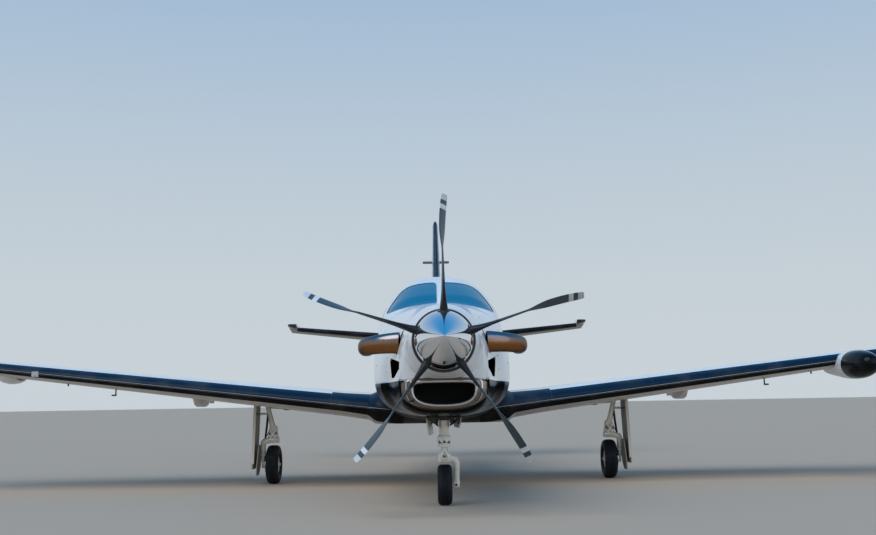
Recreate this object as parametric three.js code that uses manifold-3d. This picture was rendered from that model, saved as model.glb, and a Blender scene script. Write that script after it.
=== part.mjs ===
// A single-engine, low-wing turboprop aircraft standing on its wheels.
// Millimetres: +X is the aircraft's left, +Y points aft, +Z is up, and the ground is z = 0.
// A station is a distance aft of the spinner's tip; the origin is under the middle of the length.
import * as THREE from 'three';
import { mergeVertices } from 'three/addons/utils/BufferGeometryUtils.js';
import Module from 'manifold-3d';

const wasm = await Module();
wasm.setup();

// Driving sizes
const LENGTH = 10640;
const SEAT_GAP = 0.3;
const MOVING_GAP = 6;
const PIN_FIT = 0.6;
const RING_POINTS = 28;
const LINER_POINTS = 12;
const THIN_EDGE = 2;

// Cutting blocks reach this far across the fuselage, and side cuts start this far from its middle
const ACROSS_HULL = [-800, 800];
const SIDE_CUT = { near: 250, far: 800 };

const PROP_HEIGHT = 1385;
const PROP_STATION = 480;
const PROP_TURN = THREE.MathUtils.degToRad(-1.22);
const BLADE_COUNT = 5;
const SPINNER = { length: 604, radius: 240, fullness: 1.75, bore: 40 + PIN_FIT };
const SHAFT = { radius: 40, front: 410 };

const COWL = {
  front: 616,
  rear: 2349.7,
  wall: 12,
  splitHeight: 1075,
  splitStation: 836,
  underneath: 600,
};
const FIREWALL = 2350;
const REAR_BULKHEAD = 7200;
const TAIL_END = 10300;
const CABIN_WALL = 40;
const TAIL_WALL = 26;

const WING = {
  height: 745,
  dihedral: THREE.MathUtils.degToRad(6.8),
  incidence: THREE.MathUtils.degToRad(2),
  belly: 672,
  rootSpan: 400,
  tipSpan: 6383,
  rootChord: 1950,
  tipChord: 900,
  rootLead: 3500,
  tipLead: 3800,
  rootThickness: 0.16,
  tipThickness: 0.13,
  camber: 0.018,
};
const STAB = {
  height: 1900,
  dihedral: THREE.MathUtils.degToRad(6),
  incidence: 0,
  rootSpan: 92,
  tipSpan: 2495,
  rootChord: 1200,
  tipChord: 700,
  rootLead: 8980,
  tipLead: 9430,
  rootThickness: 0.105,
  tipThickness: 0.1,
  camber: 0,
};
const FIN = {
  footHeight: 1830,
  tipHeight: 3975,
  footChord: 1960,
  tipChord: 840,
  footLead: 8480,
  tipLead: 9800,
  thickness: 0.088,
};

// Places shared by wheels, legs and doors
const NOSE_GEAR = {
  strut: 1500,
  axle: 1600,
  tyreRadius: 178,
  tyreHalfWidth: 64,
  rimRadius: 88,
  armOffset: 128,
};
const MAIN_GEAR = {
  lateral: 1920,
  axle: 4450,
  tyreRadius: 220,
  tyreHalfWidth: 80,
  rimRadius: 105,
  armOffset: 2032,
};

// Fuselage sections: station, top, bottom, half width, height of the widest line, upper and lower roundness
const HULL = [
  [616, 1637, 1133, 252, 1385, 2.0, 2.0],
  [700, 1662, 1112, 285, 1370, 2.0, 2.1],
  [838, 1692, 1078, 325, 1330, 2.1, 2.4],
  [842, 1693, 832, 345, 1200, 2.1, 2.8],
  [1000, 1715, 797, 390, 1130, 2.2, 3.0],
  [1200, 1738, 778, 420, 1120, 2.2, 3.0],
  [1500, 1765, 770, 470, 1150, 2.25, 3.0],
  [2000, 1815, 766, 598, 1180, 2.35, 3.0],
  [2350, 1850, 764, 652, 1210, 2.4, 3.0],
  [2950, 1893, 750, 679, 1240, 2.7, 3.0],
  [3300, 2045, 715, 681, 1250, 3.0, 3.0],
  [3600, 2170, 690, 681, 1250, 3.05, 3.0],
  [3800, 2245, 684, 680, 1250, 2.85, 3.0],
  [4150, 2325, 680, 678, 1255, 2.65, 3.0],
  [4600, 2352, 680, 675, 1255, 2.6, 3.0],
  [5200, 2350, 690, 668, 1260, 2.6, 3.0],
  [5800, 2328, 730, 654, 1275, 2.6, 2.9],
  [6400, 2290, 820, 622, 1300, 2.55, 2.7],
  [7200, 2225, 955, 545, 1360, 2.45, 2.5],
  [8000, 2135, 1140, 430, 1450, 2.35, 2.4],
  [9000, 2018, 1415, 285, 1570, 2.2, 2.2],
  [9800, 1925, 1620, 170, 1680, 2.1, 2.1],
  [10300, 1866, 1745, 70, 1790, 2.0, 2.0],
];

// Surface finishes
const WHITE_PAINT = { color: 0xe9ebee, roughness: 0.28, metalness: 0.0 };
const DARK_METAL = { color: 0x3c4147, roughness: 0.25, metalness: 0.8 };
const CHROME = { color: 0xb9bec4, roughness: 0.1, metalness: 1.0 };
const BLADE_PAINT = { color: 0x2a323c, roughness: 0.42, metalness: 0.1 };
const BLACK_GLOSS = { color: 0x0c0e12, roughness: 0.15, metalness: 0.0 };
const GLAZING = { color: 0x2e6f9c, roughness: 0.06, metalness: 0.1 };
const GEAR_PAINT = { color: 0xd6d2c6, roughness: 0.4, metalness: 0.1 };
const TYRE_RUBBER = { color: 0x17181a, roughness: 0.85, metalness: 0.0 };
const LEATHER = { color: 0xb8a68c, roughness: 0.6, metalness: 0.0 };
const TRIM_GREY = { color: 0x6e7176, roughness: 0.7, metalness: 0.0 };
const CASTING = { color: 0x55585c, roughness: 0.5, metalness: 0.7 };

const aircraft = new THREE.Group();

function add(name, solid, finish) {
  const mesh = new THREE.Mesh(geometryOf(solid), new THREE.MeshStandardMaterial(finish));
  mesh.name = name;
  aircraft.add(mesh);
}

// Solids and geometry
function solidOf(geometry) {
  const bare = geometry.clone();
  bare.deleteAttribute('normal');
  bare.deleteAttribute('uv');
  const merged = mergeVertices(bare, 1e-2);
  const vertProperties = new Float32Array(merged.attributes.position.array);
  const triVerts = new Uint32Array(merged.index.array);
  return new wasm.Manifold(new wasm.Mesh({ numProp: 3, vertProperties, triVerts }));
}

function geometryOf(solid) {
  const mesh = solid.getMesh();
  const geometry = new THREE.BufferGeometry();
  geometry.setAttribute('position', new THREE.BufferAttribute(mesh.vertProperties, 3));
  geometry.setIndex(new THREE.BufferAttribute(mesh.triVerts, 1));
  geometry.computeVertexNormals();
  return geometry;
}

function capFaces(ring) {
  const normal = new THREE.Vector3();
  const corner = (i) => new THREE.Vector3(...ring[i % ring.length]);
  ring.forEach((_, i) => normal.add(corner(i).cross(corner(i + 1))));
  const lean = normal.toArray().map(Math.abs);
  const flat = lean.indexOf(Math.max(...lean));
  const [u, v] = [0, 1, 2].filter((axis) => axis !== flat);
  const contour = ring.map((p) => new THREE.Vector2(p[u], p[v]));
  const faces = THREE.ShapeUtils.triangulateShape(contour, []);
  const area = faces.reduce((sum, face) => sum + THREE.ShapeUtils.area(face.map((i) => contour[i])), 0);
  const sameWay = Math.sign(area) === Math.sign(THREE.ShapeUtils.area(contour));
  return sameWay ? faces : faces.map(([i, j, k]) => [i, k, j]);
}

function signedVolume(positions, indices) {
  const [a, b, c] = [new THREE.Vector3(), new THREE.Vector3(), new THREE.Vector3()];
  let volume = 0;
  for (let i = 0; i < indices.length; i += 3) {
    a.fromArray(positions, indices[i] * 3);
    b.fromArray(positions, indices[i + 1] * 3);
    c.fromArray(positions, indices[i + 2] * 3);
    volume += a.dot(b.cross(c));
  }
  return volume;
}

// A solid skinned over rings of points, each ring having as many points as the next
function loft(rings) {
  const count = rings[0].length;
  const last = (rings.length - 1) * count;
  const positions = rings.flat(2);
  const indices = [];
  for (let start = 0; start < last; start += count) {
    for (let k = 0; k < count; k += 1) {
      const a = start + k;
      const b = start + (k + 1) % count;
      indices.push(a, b, b + count, a, b + count, a + count);
    }
  }
  capFaces(rings[0]).forEach(([i, j, k]) => indices.push(i, k, j));
  capFaces(rings.at(-1)).forEach(([i, j, k]) => indices.push(last + i, last + j, last + k));
  if (signedVolume(positions, indices) < 0) {
    indices.reverse();
  }
  const geometry = new THREE.BufferGeometry();
  geometry.setAttribute('position', new THREE.Float32BufferAttribute(positions, 3));
  geometry.setIndex(indices);
  return solidOf(geometry);
}

function mirrored(solid) {
  const geometry = geometryOf(solid);
  geometry.scale(-1, 1, 1);
  geometry.index.array.reverse();
  return solidOf(geometry);
}

function shifted(solid, offset) {
  const geometry = geometryOf(solid);
  geometry.translate(...offset);
  return solidOf(geometry);
}

function aft(station) {
  return station - LENGTH / 2;
}

function block([x0, x1], [s0, s1], [z0, z1]) {
  const geometry = new THREE.BoxGeometry(x1 - x0, s1 - s0, z1 - z0);
  geometry.translate((x0 + x1) / 2, aft((s0 + s1) / 2), (z0 + z1) / 2);
  return solidOf(geometry);
}

// A round bar between two points, each given as x, station and z
function rod(from, to, radius, sides = 10, endRadius = radius) {
  const start = new THREE.Vector3(from[0], aft(from[1]), from[2]);
  const end = new THREE.Vector3(to[0], aft(to[1]), to[2]);
  const along = end.clone().sub(start);
  const geometry = new THREE.CylinderGeometry(endRadius, radius, along.length(), sides);
  const upright = new THREE.Vector3(0, 1, 0);
  geometry.applyQuaternion(new THREE.Quaternion().setFromUnitVectors(upright, along.normalize()));
  geometry.translate(...start.add(end).multiplyScalar(0.5).toArray());
  return solidOf(geometry);
}

// An outline in station and height, pushed sideways from x0 to x1
function sidePrism(outline, x0, x1) {
  return loft([x0, x1].map((x) => outline.map(([s, z]) => [x, aft(s), z])));
}

// An outline in x and height, pushed aft; each end's station may follow the height
function frontPrism(outline, front, back) {
  return loft([front, back].map((station) => outline.map(([x, z]) => [x, aft(station(z)), z])));
}

function roundedOutline(cx, cz, width, height, radius, steps = 2) {
  const outline = [];
  for (const [sx, sz, from] of [[1, 1, 0], [-1, 1, 90], [-1, -1, 180], [1, -1, 270]]) {
    for (let k = 0; k <= steps; k += 1) {
      const angle = THREE.MathUtils.degToRad(from + (90 * k) / steps);
      outline.push([
        cx + sx * (width / 2 - radius) + radius * Math.cos(angle),
        cz + sz * (height / 2 - radius) + radius * Math.sin(angle),
      ]);
    }
  }
  return outline;
}

// A turned solid whose axis lies along X, through the point x, station, z; profile is radius and offset
function turnedAcross(profile, x, station, z, segments, turn = 0) {
  const geometry = new THREE.LatheGeometry(profile.map(([r, y]) => new THREE.Vector2(r, y)), segments);
  geometry.rotateY(turn);
  geometry.rotateZ(-Math.PI / 2);
  geometry.translate(x, aft(station), z);
  return solidOf(geometry);
}

// Fuselage shape
function between(column, station) {
  const rows = HULL;
  const after = rows.findIndex((row) => row[0] > station);
  const i = THREE.MathUtils.clamp((after < 0 ? rows.length : after) - 1, 0, rows.length - 2);
  const slope = (n) => (rows[n + 1][column] - rows[n][column]) / (rows[n + 1][0] - rows[n][0]);
  const tangent = (n) => {
    if (n === 0) return slope(0);
    if (n === rows.length - 1) return slope(n - 1);
    const [near, far] = [slope(n - 1), slope(n)];
    return near * far <= 0 ? 0 : (2 * near * far) / (near + far);
  };
  const width = rows[i + 1][0] - rows[i][0];
  const t = THREE.MathUtils.clamp((station - rows[i][0]) / width, 0, 1);
  const [t2, t3] = [t * t, t * t * t];
  return (2 * t3 - 3 * t2 + 1) * rows[i][column] + (t3 - 2 * t2 + t) * width * tangent(i)
    + (3 * t2 - 2 * t3) * rows[i + 1][column] + (t3 - t2) * width * tangent(i + 1);
}

function hullSection(station) {
  const columns = { top: 1, bottom: 2, half: 3, wide: 4, upper: 5, lower: 6 };
  const entries = Object.entries(columns);
  return Object.fromEntries(entries.map(([name, column]) => [name, between(column, station)]));
}

function hullRing(station, inset = 0, place = station, points = RING_POINTS) {
  const { top, bottom, half, wide, upper, lower } = hullSection(station);
  const ring = [];
  for (let k = 0; k < points; k += 1) {
    const angle = (2 * Math.PI * k) / points;
    const [c, s] = [Math.cos(angle), Math.sin(angle)];
    const power = 2 / (s >= 0 ? upper : lower);
    const reach = s >= 0 ? top - wide - inset : wide - bottom - inset;
    const x = (half - inset) * Math.sign(c) * Math.abs(c) ** power;
    ring.push([x, aft(place), wide + reach * Math.sign(s) * Math.abs(s) ** power]);
  }
  return ring;
}

function hull(stations, inset = 0, points = RING_POINTS) {
  return loft(stations.map((station) => hullRing(station, inset, station, points)));
}

const NOSE_STATIONS = [616, 838, 842, 1000, 1500, 2000];
const CABIN_STATIONS = [2950, 3300, 3600, 3800, 4150, 4600, 5200, 5800, 6400];
const LINER_STATIONS = [2950, 3300, 3600, 3800, 4150, 4600, 5800];
const TAIL_STATIONS = [8000, 9000, 9800];
const wholeHull = hull(
  [...NOSE_STATIONS, FIREWALL, ...CABIN_STATIONS, REAR_BULKHEAD, ...TAIL_STATIONS, TAIL_END],
  -SEAT_GAP,
);

// Cowling
const cowlOuter = hull([...NOSE_STATIONS, COWL.rear]);
const cowlHollowStations = [838, 842, 1000, 1500, 2000, 2350];
const cowlHollow = loft([
  hullRing(COWL.front, COWL.wall, COWL.front - COWL.wall),
  ...cowlHollowStations.map((station) => hullRing(station, COWL.wall, station + COWL.wall)),
]);
const cowlSkin = cowlOuter.subtract(cowlHollow);
const lowerZone = (seam) => block(
  ACROSS_HULL,
  [COWL.splitStation - seam, COWL.rear + 50],
  [COWL.underneath, COWL.splitHeight + seam],
);

// Exhaust stacks: x, station, half width across the flow, half height, centre height
const STACK = [
  [170, 1120, 88, 94, 1400],
  [380, 1130, 88, 92, 1399],
  [500, 1165, 86, 86, 1394],
  [595, 1245, 82, 80, 1386],
  [645, 1360, 76, 77, 1381],
  [660, 1480, 72, 75, 1380],
  [664, 1620, 70, 74, 1380],
];
const STACK_RING = { points: 16, power: 0.8, wall: 7, opening: 14 };

function stackLoft(grow, rows = STACK) {
  const rings = rows.map(([x, station, across, high, centre], i) => {
    const before = rows[Math.max(i - 1, 0)];
    const after = rows[Math.min(i + 1, rows.length - 1)];
    const way = new THREE.Vector2(after[0] - before[0], after[1] - before[1]).normalize();
    return Array.from({ length: STACK_RING.points }, (_, k) => {
      const angle = (2 * Math.PI * k) / STACK_RING.points;
      const [c, s] = [Math.cos(angle), Math.sin(angle)];
      const side = (across + grow) * Math.sign(c) * Math.abs(c) ** STACK_RING.power;
      const rise = (high + grow) * Math.sign(s) * Math.abs(s) ** STACK_RING.power;
      return [x + side * way.y, aft(station - side * way.x), centre + rise];
    });
  });
  return loft(rings);
}

const stackOpening = stackLoft(STACK_RING.opening, STACK.slice(0, 4));
// The dark side opening under each stack: x and height, cut aft to a station
const GILL = { outline: [[470, 1292], [391, 1231], [436, 1111], [470, 1111]], front: 900, back: 1520 };
const gillCut = frontPrism(GILL.outline, () => GILL.front, () => GILL.back);
let cowlTop = cowlSkin.subtract(lowerZone(SEAT_GAP));
for (const cut of [stackOpening, gillCut]) {
  cowlTop = cowlTop.subtract(cut).subtract(mirrored(cut));
}
add('cowl_top', cowlTop, WHITE_PAINT);

// Chin intake: a flat-topped, round-bottomed mouth, as an outline grown by a margin
const MOUTH = { half: 243, top: 1046, bottom: 886, middle: 1000, upper: 5, lower: 2.6, points: 16 };

function mouthRing(grow, station) {
  return Array.from({ length: MOUTH.points }, (_, k) => {
    const angle = (2 * Math.PI * k) / MOUTH.points;
    const [c, s] = [Math.cos(angle), Math.sin(angle)];
    const power = 2 / (s >= 0 ? MOUTH.upper : MOUTH.lower);
    const reach = (s >= 0 ? MOUTH.top - MOUTH.middle : MOUTH.middle - MOUTH.bottom) + grow;
    const x = (MOUTH.half + grow) * Math.sign(c) * Math.abs(c) ** power;
    return [x, aft(station), MOUTH.middle + reach * Math.sign(s) * Math.abs(s) ** power];
  });
}

const DUCT = { wall: 16, front: 830, rear: 1240, fit: 0.4 };
// The nose wheel's bay through the belly
const NOSE_BAY = { x: [-140, 140], station: [1330, 2200], z: [700, 900] };
const mouthHole = loft([780, 960].map((station) => mouthRing(DUCT.wall + DUCT.fit, station)));
const noseBay = block(NOSE_BAY.x, NOSE_BAY.station, NOSE_BAY.z);
const cowlBottom = cowlSkin.intersect(lowerZone(0)).subtract(mouthHole).subtract(noseBay);
add('cowl_bottom', cowlBottom, DARK_METAL);

// Lip sections outside and inside the mouth: margin beyond the mouth's outline, station
const LIP_OUTSIDE = [[54, 837.5], [53, 830], [47, 820], [40, 814], [32, 812]];
const LIP_INSIDE = [[26, 806], [14, 814], [6, 822], [0, 838], [0, DUCT.rear - DUCT.wall]];
const lipLoft = (rows) => loft(rows.map(([grow, station]) => mouthRing(grow, station)));
const cowlNose = hull([COWL.front, 838], -SEAT_GAP);
const lipRing = lipLoft(LIP_OUTSIDE).subtract(cowlNose);
const ductTube = lipLoft([[DUCT.wall, DUCT.front], [DUCT.wall, DUCT.rear]]);
add('intake_lip', lipRing.add(ductTube).subtract(lipLoft(LIP_INSIDE)), CHROME);

// Engine, as one plain block on the firewall with its propeller shaft
const ENGINE = { radius: 240, frontRadius: 200, front: 730, step: 1000, back: COWL.rear, sides: 20 };
const SHAFT_END_GAP = 10;
const axis = (station) => [0, station, PROP_HEIGHT];
const engine = rod(axis(ENGINE.front), axis(ENGINE.back), ENGINE.frontRadius, ENGINE.sides)
  .add(rod(axis(ENGINE.step), axis(ENGINE.back), ENGINE.radius, ENGINE.sides))
  .add(rod(axis(SHAFT.front + SHAFT_END_GAP), axis(ENGINE.front + 5), SHAFT.radius));
add('engine', engine, CASTING);

const engineKeepout = rod(axis(COWL.front), axis(COWL.rear + 50), ENGINE.radius + SEAT_GAP, ENGINE.sides);
// The pipe's hollow runs past its open end
const stackBore = stackLoft(-STACK_RING.wall, [...STACK.slice(2), [664, 1650, 70, 74, 1380]]);
const stack = stackLoft(0).subtract(stackBore).subtract(engineKeepout);
add('exhaust_left', stack, CHROME);
add('exhaust_right', mirrored(stack), CHROME);

// Propeller
function spinnerRadius(station) {
  return SPINNER.radius * (1 - (1 - station / SPINNER.length) ** SPINNER.fullness);
}

const SHANK = { radius: 49.6, socket: 50.4, inner: 120, outer: 245, beyond: 300, sides: 8 };
const SPINNER_STATIONS = [8, 28, 62, 110, 175, 260, 360, 480, SPINNER.length];
const SPINNER_SIDES = 28;
const BLADE_STEP = (2 * Math.PI) / BLADE_COUNT;
const bladeAngles = Array.from({ length: BLADE_COUNT }, (_, k) => Math.PI / 2 + PROP_TURN - k * BLADE_STEP);

// A point on a blade's pitch axis
function bladeSpot(angle, radius) {
  return [radius * Math.cos(angle), PROP_STATION, PROP_HEIGHT + radius * Math.sin(angle)];
}

const spinnerProfile = [
  [0, 0],
  ...SPINNER_STATIONS.map((station) => [spinnerRadius(station), station]),
  [0, SPINNER.length],
];
const spinnerPoints = spinnerProfile.map(([r, y]) => new THREE.Vector2(r, y));
const spinnerBody = new THREE.LatheGeometry(spinnerPoints, SPINNER_SIDES);
spinnerBody.translate(0, aft(0), PROP_HEIGHT);
let spinner = solidOf(spinnerBody)
  .subtract(rod(axis(SHAFT.front), axis(SPINNER.length + 100), SPINNER.bore, 24));
for (const angle of bladeAngles) {
  const [inner, outer] = [bladeSpot(angle, SHANK.inner), bladeSpot(angle, SHANK.beyond)];
  spinner = spinner.subtract(rod(inner, outer, SHANK.socket, SHANK.sides));
}
add('spinner', spinner, CHROME);

// Blade sections: radius, chord, thickness, feathered pitch in degrees, sweep of the chord's middle
const BLADE = [
  [235, 90, 66, 108, 0],
  [265, 100, 58, 107, 0],
  [300, 112, 48, 106, 0],
  [350, 130, 38, 104, -2],
  [400, 148, 30, 101, -4],
  [520, 172, 23, 96, -12],
  [680, 184, 18, 89, -16],
  [880, 178, 12, 81, -2],
  [1040, 150, 9, 75, 28],
  [1115, 118, 7, 73, 52],
  [1155, 66, 5, 73, 76],
];
const BLADE_RING = { points: 10, fullNose: 0.25 };

function bladeSolid(angle) {
  const out = new THREE.Vector3(Math.cos(angle), 0, Math.sin(angle));
  const turning = new THREE.Vector3(-Math.sin(angle), 0, Math.cos(angle));
  const ahead = new THREE.Vector3(0, -1, 0);
  const hub = new THREE.Vector3(0, aft(PROP_STATION), PROP_HEIGHT);
  const rings = BLADE.map(([radius, chord, thick, pitch, bend]) => {
    const tilt = THREE.MathUtils.degToRad(pitch);
    const chordWay = turning.clone().multiplyScalar(Math.cos(tilt)).addScaledVector(ahead, Math.sin(tilt));
    const flatWay = turning.clone().multiplyScalar(-Math.sin(tilt)).addScaledVector(ahead, Math.cos(tilt));
    const centre = hub.clone().addScaledVector(out, radius).addScaledVector(chordWay, -bend);
    return Array.from({ length: BLADE_RING.points }, (_, k) => {
      const a = (2 * Math.PI * k) / BLADE_RING.points;
      const flat = (thick / 2) * Math.sin(a) * (1 + BLADE_RING.fullNose * Math.cos(a));
      return centre.clone()
        .addScaledVector(chordWay, (chord / 2) * Math.cos(a))
        .addScaledVector(flatWay, flat)
        .toArray();
    });
  });
  const [inner, outer] = [bladeSpot(angle, SHANK.inner + SEAT_GAP), bladeSpot(angle, SHANK.outer)];
  return loft(rings).add(rod(inner, outer, SHANK.radius, SHANK.sides));
}

bladeAngles.forEach((angle, k) => add(`blade_${k + 1}`, bladeSolid(angle), BLADE_PAINT));

// Cabin
const cabinStations = [FIREWALL, ...CABIN_STATIONS, REAR_BULKHEAD];
const cabinOuter = hull(cabinStations);
const liner = (clear, inset) => hull(
  [FIREWALL + CABIN_WALL + clear, ...LINER_STATIONS, REAR_BULKHEAD - CABIN_WALL - clear],
  CABIN_WALL + inset,
  LINER_POINTS,
);
const GLASS = { depth: 10, ends: 60, overlap: 24, doorOverlap: 18 };
const cabinInner = liner(0, 0);
const cabinInnerFit = liner(1, SEAT_GAP);
const cabinGlassBack = liner(GLASS.ends, GLASS.depth);

// Front-view outline of one windshield pane: x, height
const PANE = [
  [28, 1895], [150, 1892], [302, 1876], [446, 1852], [582, 1820],
  [545, 1915], [490, 2000], [413, 2096], [296, 2172], [163, 2203], [28, 2214],
];
const PANE_SLOPE = { lowStation: 3390, lowHeight: 1820, run: 1.08, ahead: 2860 };
const PANE_MIDDLE = [290, 2010];

function paneRear(z) {
  return PANE_SLOPE.lowStation + (z - PANE_SLOPE.lowHeight) * PANE_SLOPE.run;
}

function paneCut(shrink) {
  const [cx, cz] = PANE_MIDDLE;
  const outline = PANE.map(([x, z]) => {
    const away = Math.hypot(x - cx, z - cz);
    return [x - (shrink * (x - cx)) / away, z - (shrink * (z - cz)) / away];
  });
  return frontPrism(outline, () => PANE_SLOPE.ahead, (z) => paneRear(z) - shrink);
}

// Side windows: centre station, centre height, width, height, corner radius
const WINDOW = { width: 320, height: 380, radius: 110, centre: 1740 };
const COCKPIT_WINDOW = [
  [3520, 1700], [3960, 1690], [3985, 1725], [3985, 1990],
  [3955, 2030], [3800, 2030], [3640, 1900], [3515, 1760],
];
const COCKPIT_MIDDLE = { station: 3780, height: 1850, halfLength: 200, halfHeight: 150 };
const WINDOWS_RIGHT = [4350, 4950, 5550, 6150];
const WINDOWS_LEFT = [4350, 4950, 5480];
const DOOR_WINDOW = 6285;

function windowOutline(station, shrink) {
  const { width, height, radius, centre } = WINDOW;
  return roundedOutline(station, centre, width - 2 * shrink, height - 2 * shrink, radius - shrink);
}

function cockpitOutline(shrink) {
  const { station, height, halfLength, halfHeight } = COCKPIT_MIDDLE;
  return COCKPIT_WINDOW.map(([s, z]) => [
    s - (shrink * (s - station)) / halfLength,
    z - (shrink * (z - height)) / halfHeight,
  ]);
}

// An outline in station and height, pushed out through one side of the cabin
function sideCut(outline, side) {
  return sidePrism(outline, side * SIDE_CUT.near, side * SIDE_CUT.far);
}

function windowPlugs(stations, side, shrink) {
  const outlines = [cockpitOutline(shrink), ...stations.map((station) => windowOutline(station, shrink))];
  return outlines.map((outline) => sideCut(outline, side));
}

// Cabin door, top-hinged on the aircraft's left
const DOOR = { front: 5755, rear: 6815, sill: 985, head: 2120, radius: 110 };
const doorMiddle = (DOOR.front + DOOR.rear) / 2;

function doorOutline(shrink) {
  return roundedOutline(
    doorMiddle,
    (DOOR.sill + DOOR.head) / 2,
    DOOR.rear - DOOR.front - 2 * shrink,
    DOOR.head - DOOR.sill - 2 * shrink,
    DOOR.radius,
    3,
  );
}

function sideAtHeight(station, z) {
  const { top, half, wide, upper } = hullSection(station);
  return half * (1 - ((z - wide) / (top - wide)) ** upper) ** (1 / upper);
}

const HINGE = { radius: 14, pin: 6, clear: 20, tab: 90, inset: 230, height: DOOR.head - MOVING_GAP / 2 };
HINGE.x = sideAtHeight(DOOR.front + HINGE.inset, HINGE.height) + 8;
// Hinge knuckles along the door's head: the stations where the fixed half and the door's half meet
const HINGE_SPOTS = [DOOR.front + HINGE.inset, DOOR.rear - HINGE.inset];
// Along each hinge from its meeting station: knuckles, the notches round them, the pin and its bore
const KNUCKLE = {
  fixed: [-50, -6.3],
  moving: [0, 50],
  fixedNotch: [-6, 56],
  movingNotch: [-56, 0],
  pin: [-7, 40],
  bore: [-1, 44],
  fixedTab: [4, 13],
  movingTab: [-13, -4],
};
const hingeAt = (station) => [HINGE.x, station, HINGE.height];

let shell = cabinOuter.subtract(cabinInner);
for (const cut of [...windowPlugs(WINDOWS_LEFT, 1, 0), ...windowPlugs(WINDOWS_RIGHT, -1, 0)]) {
  shell = shell.subtract(cut);
}
const paneHole = paneCut(0);
shell = shell.subtract(paneHole).subtract(mirrored(paneHole));
shell = shell.subtract(sideCut(doorOutline(0), 1));
let door = cabinOuter.subtract(cabinInner)
  .intersect(sideCut(doorOutline(MOVING_GAP), 1))
  .subtract(sideCut(windowOutline(DOOR_WINDOW, 0), 1));
for (const spot of HINGE_SPOTS) {
  const reach = ([from, to], radius) => rod(hingeAt(spot + from), hingeAt(spot + to), radius);
  const tab = ([from, to], [low, high]) => block(
    [HINGE.x - HINGE.tab, HINGE.x],
    [spot + from, spot + to],
    [HINGE.height + low, HINGE.height + high],
  );
  shell = shell.subtract(reach(KNUCKLE.fixedNotch, HINGE.clear))
    .add(reach(KNUCKLE.fixed, HINGE.radius))
    .add(tab(KNUCKLE.fixed, KNUCKLE.fixedTab))
    .add(reach(KNUCKLE.pin, HINGE.pin));
  door = door.subtract(reach(KNUCKLE.movingNotch, HINGE.clear))
    .add(reach(KNUCKLE.moving, HINGE.radius))
    .add(tab(KNUCKLE.moving, KNUCKLE.movingTab))
    .subtract(reach(KNUCKLE.bore, HINGE.pin + PIN_FIT));
}
add('cabin_shell', shell, WHITE_PAINT);
add('cabin_door', door, WHITE_PAINT);

const glassWall = cabinOuter.subtract(cabinGlassBack);
const glassLiner = cabinInnerFit.subtract(cabinGlassBack);

const paneClear = paneCut(-GLASS.overlap);
// The glazing band inside the wall: its front, sill, and its head before and behind the cockpit
const GLASS_BAND = { front: 3440, sill: 1500, cockpitHead: 2060, cockpitEnd: 4040, head: 1960 };

function sideGlass(stations, side) {
  const { front, sill, cockpitHead, cockpitEnd, head } = GLASS_BAND;
  const last = stations.at(-1) + WINDOW.width / 2 + GLASS.overlap;
  const band = [[front, sill], [last, sill], [last, head], [cockpitEnd, cockpitHead], [front, cockpitHead]];
  let glass = glassLiner.intersect(sideCut(band, side));
  for (const plug of windowPlugs(stations, side, SEAT_GAP)) {
    glass = glass.add(glassWall.intersect(plug));
  }
  return glass.subtract(side > 0 ? paneClear : mirrored(paneClear));
}

add('side_glass_left', sideGlass(WINDOWS_LEFT, 1), GLAZING);
add('side_glass_right', sideGlass(WINDOWS_RIGHT, -1), GLAZING);
const doorLiner = glassLiner.intersect(sideCut(windowOutline(DOOR_WINDOW, -GLASS.doorOverlap), 1));
const doorPane = glassWall.intersect(sideCut(windowOutline(DOOR_WINDOW, SEAT_GAP), 1));
add('door_glass', doorLiner.add(doorPane), GLAZING);

const paneFit = paneCut(SEAT_GAP);
// The strip behind the centre post that joins both panes
const POST_STRIP = { x: [-60, 60], station: [2900, 3900], z: [1900, 2200] };
const postLiner = glassLiner.intersect(block(POST_STRIP.x, POST_STRIP.station, POST_STRIP.z));
const windshield = glassWall.intersect(paneFit)
  .add(glassWall.intersect(mirrored(paneFit)))
  .add(postLiner);
add('windshield', windshield, GLAZING);

// Cabin furniture
const FLOOR = { top: 1030, thickness: 30, station: [2960, 7120] };
const floorZone = block(ACROSS_HULL, FLOOR.station, [FLOOR.top - FLOOR.thickness, FLOOR.top]);
add('cabin_floor', cabinInnerFit.intersect(floorZone), TRIM_GREY);
// Side view of the instrument panel: station, height
const PANEL = [[2990, 1330], [3060, 1330], [3150, 1560], [3190, 1770], [3160, 1800], [2990, 1812]];
add('instrument_panel', cabinInnerFit.intersect(sidePrism(PANEL, ...ACROSS_HULL)), BLACK_GLOSS);

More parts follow.
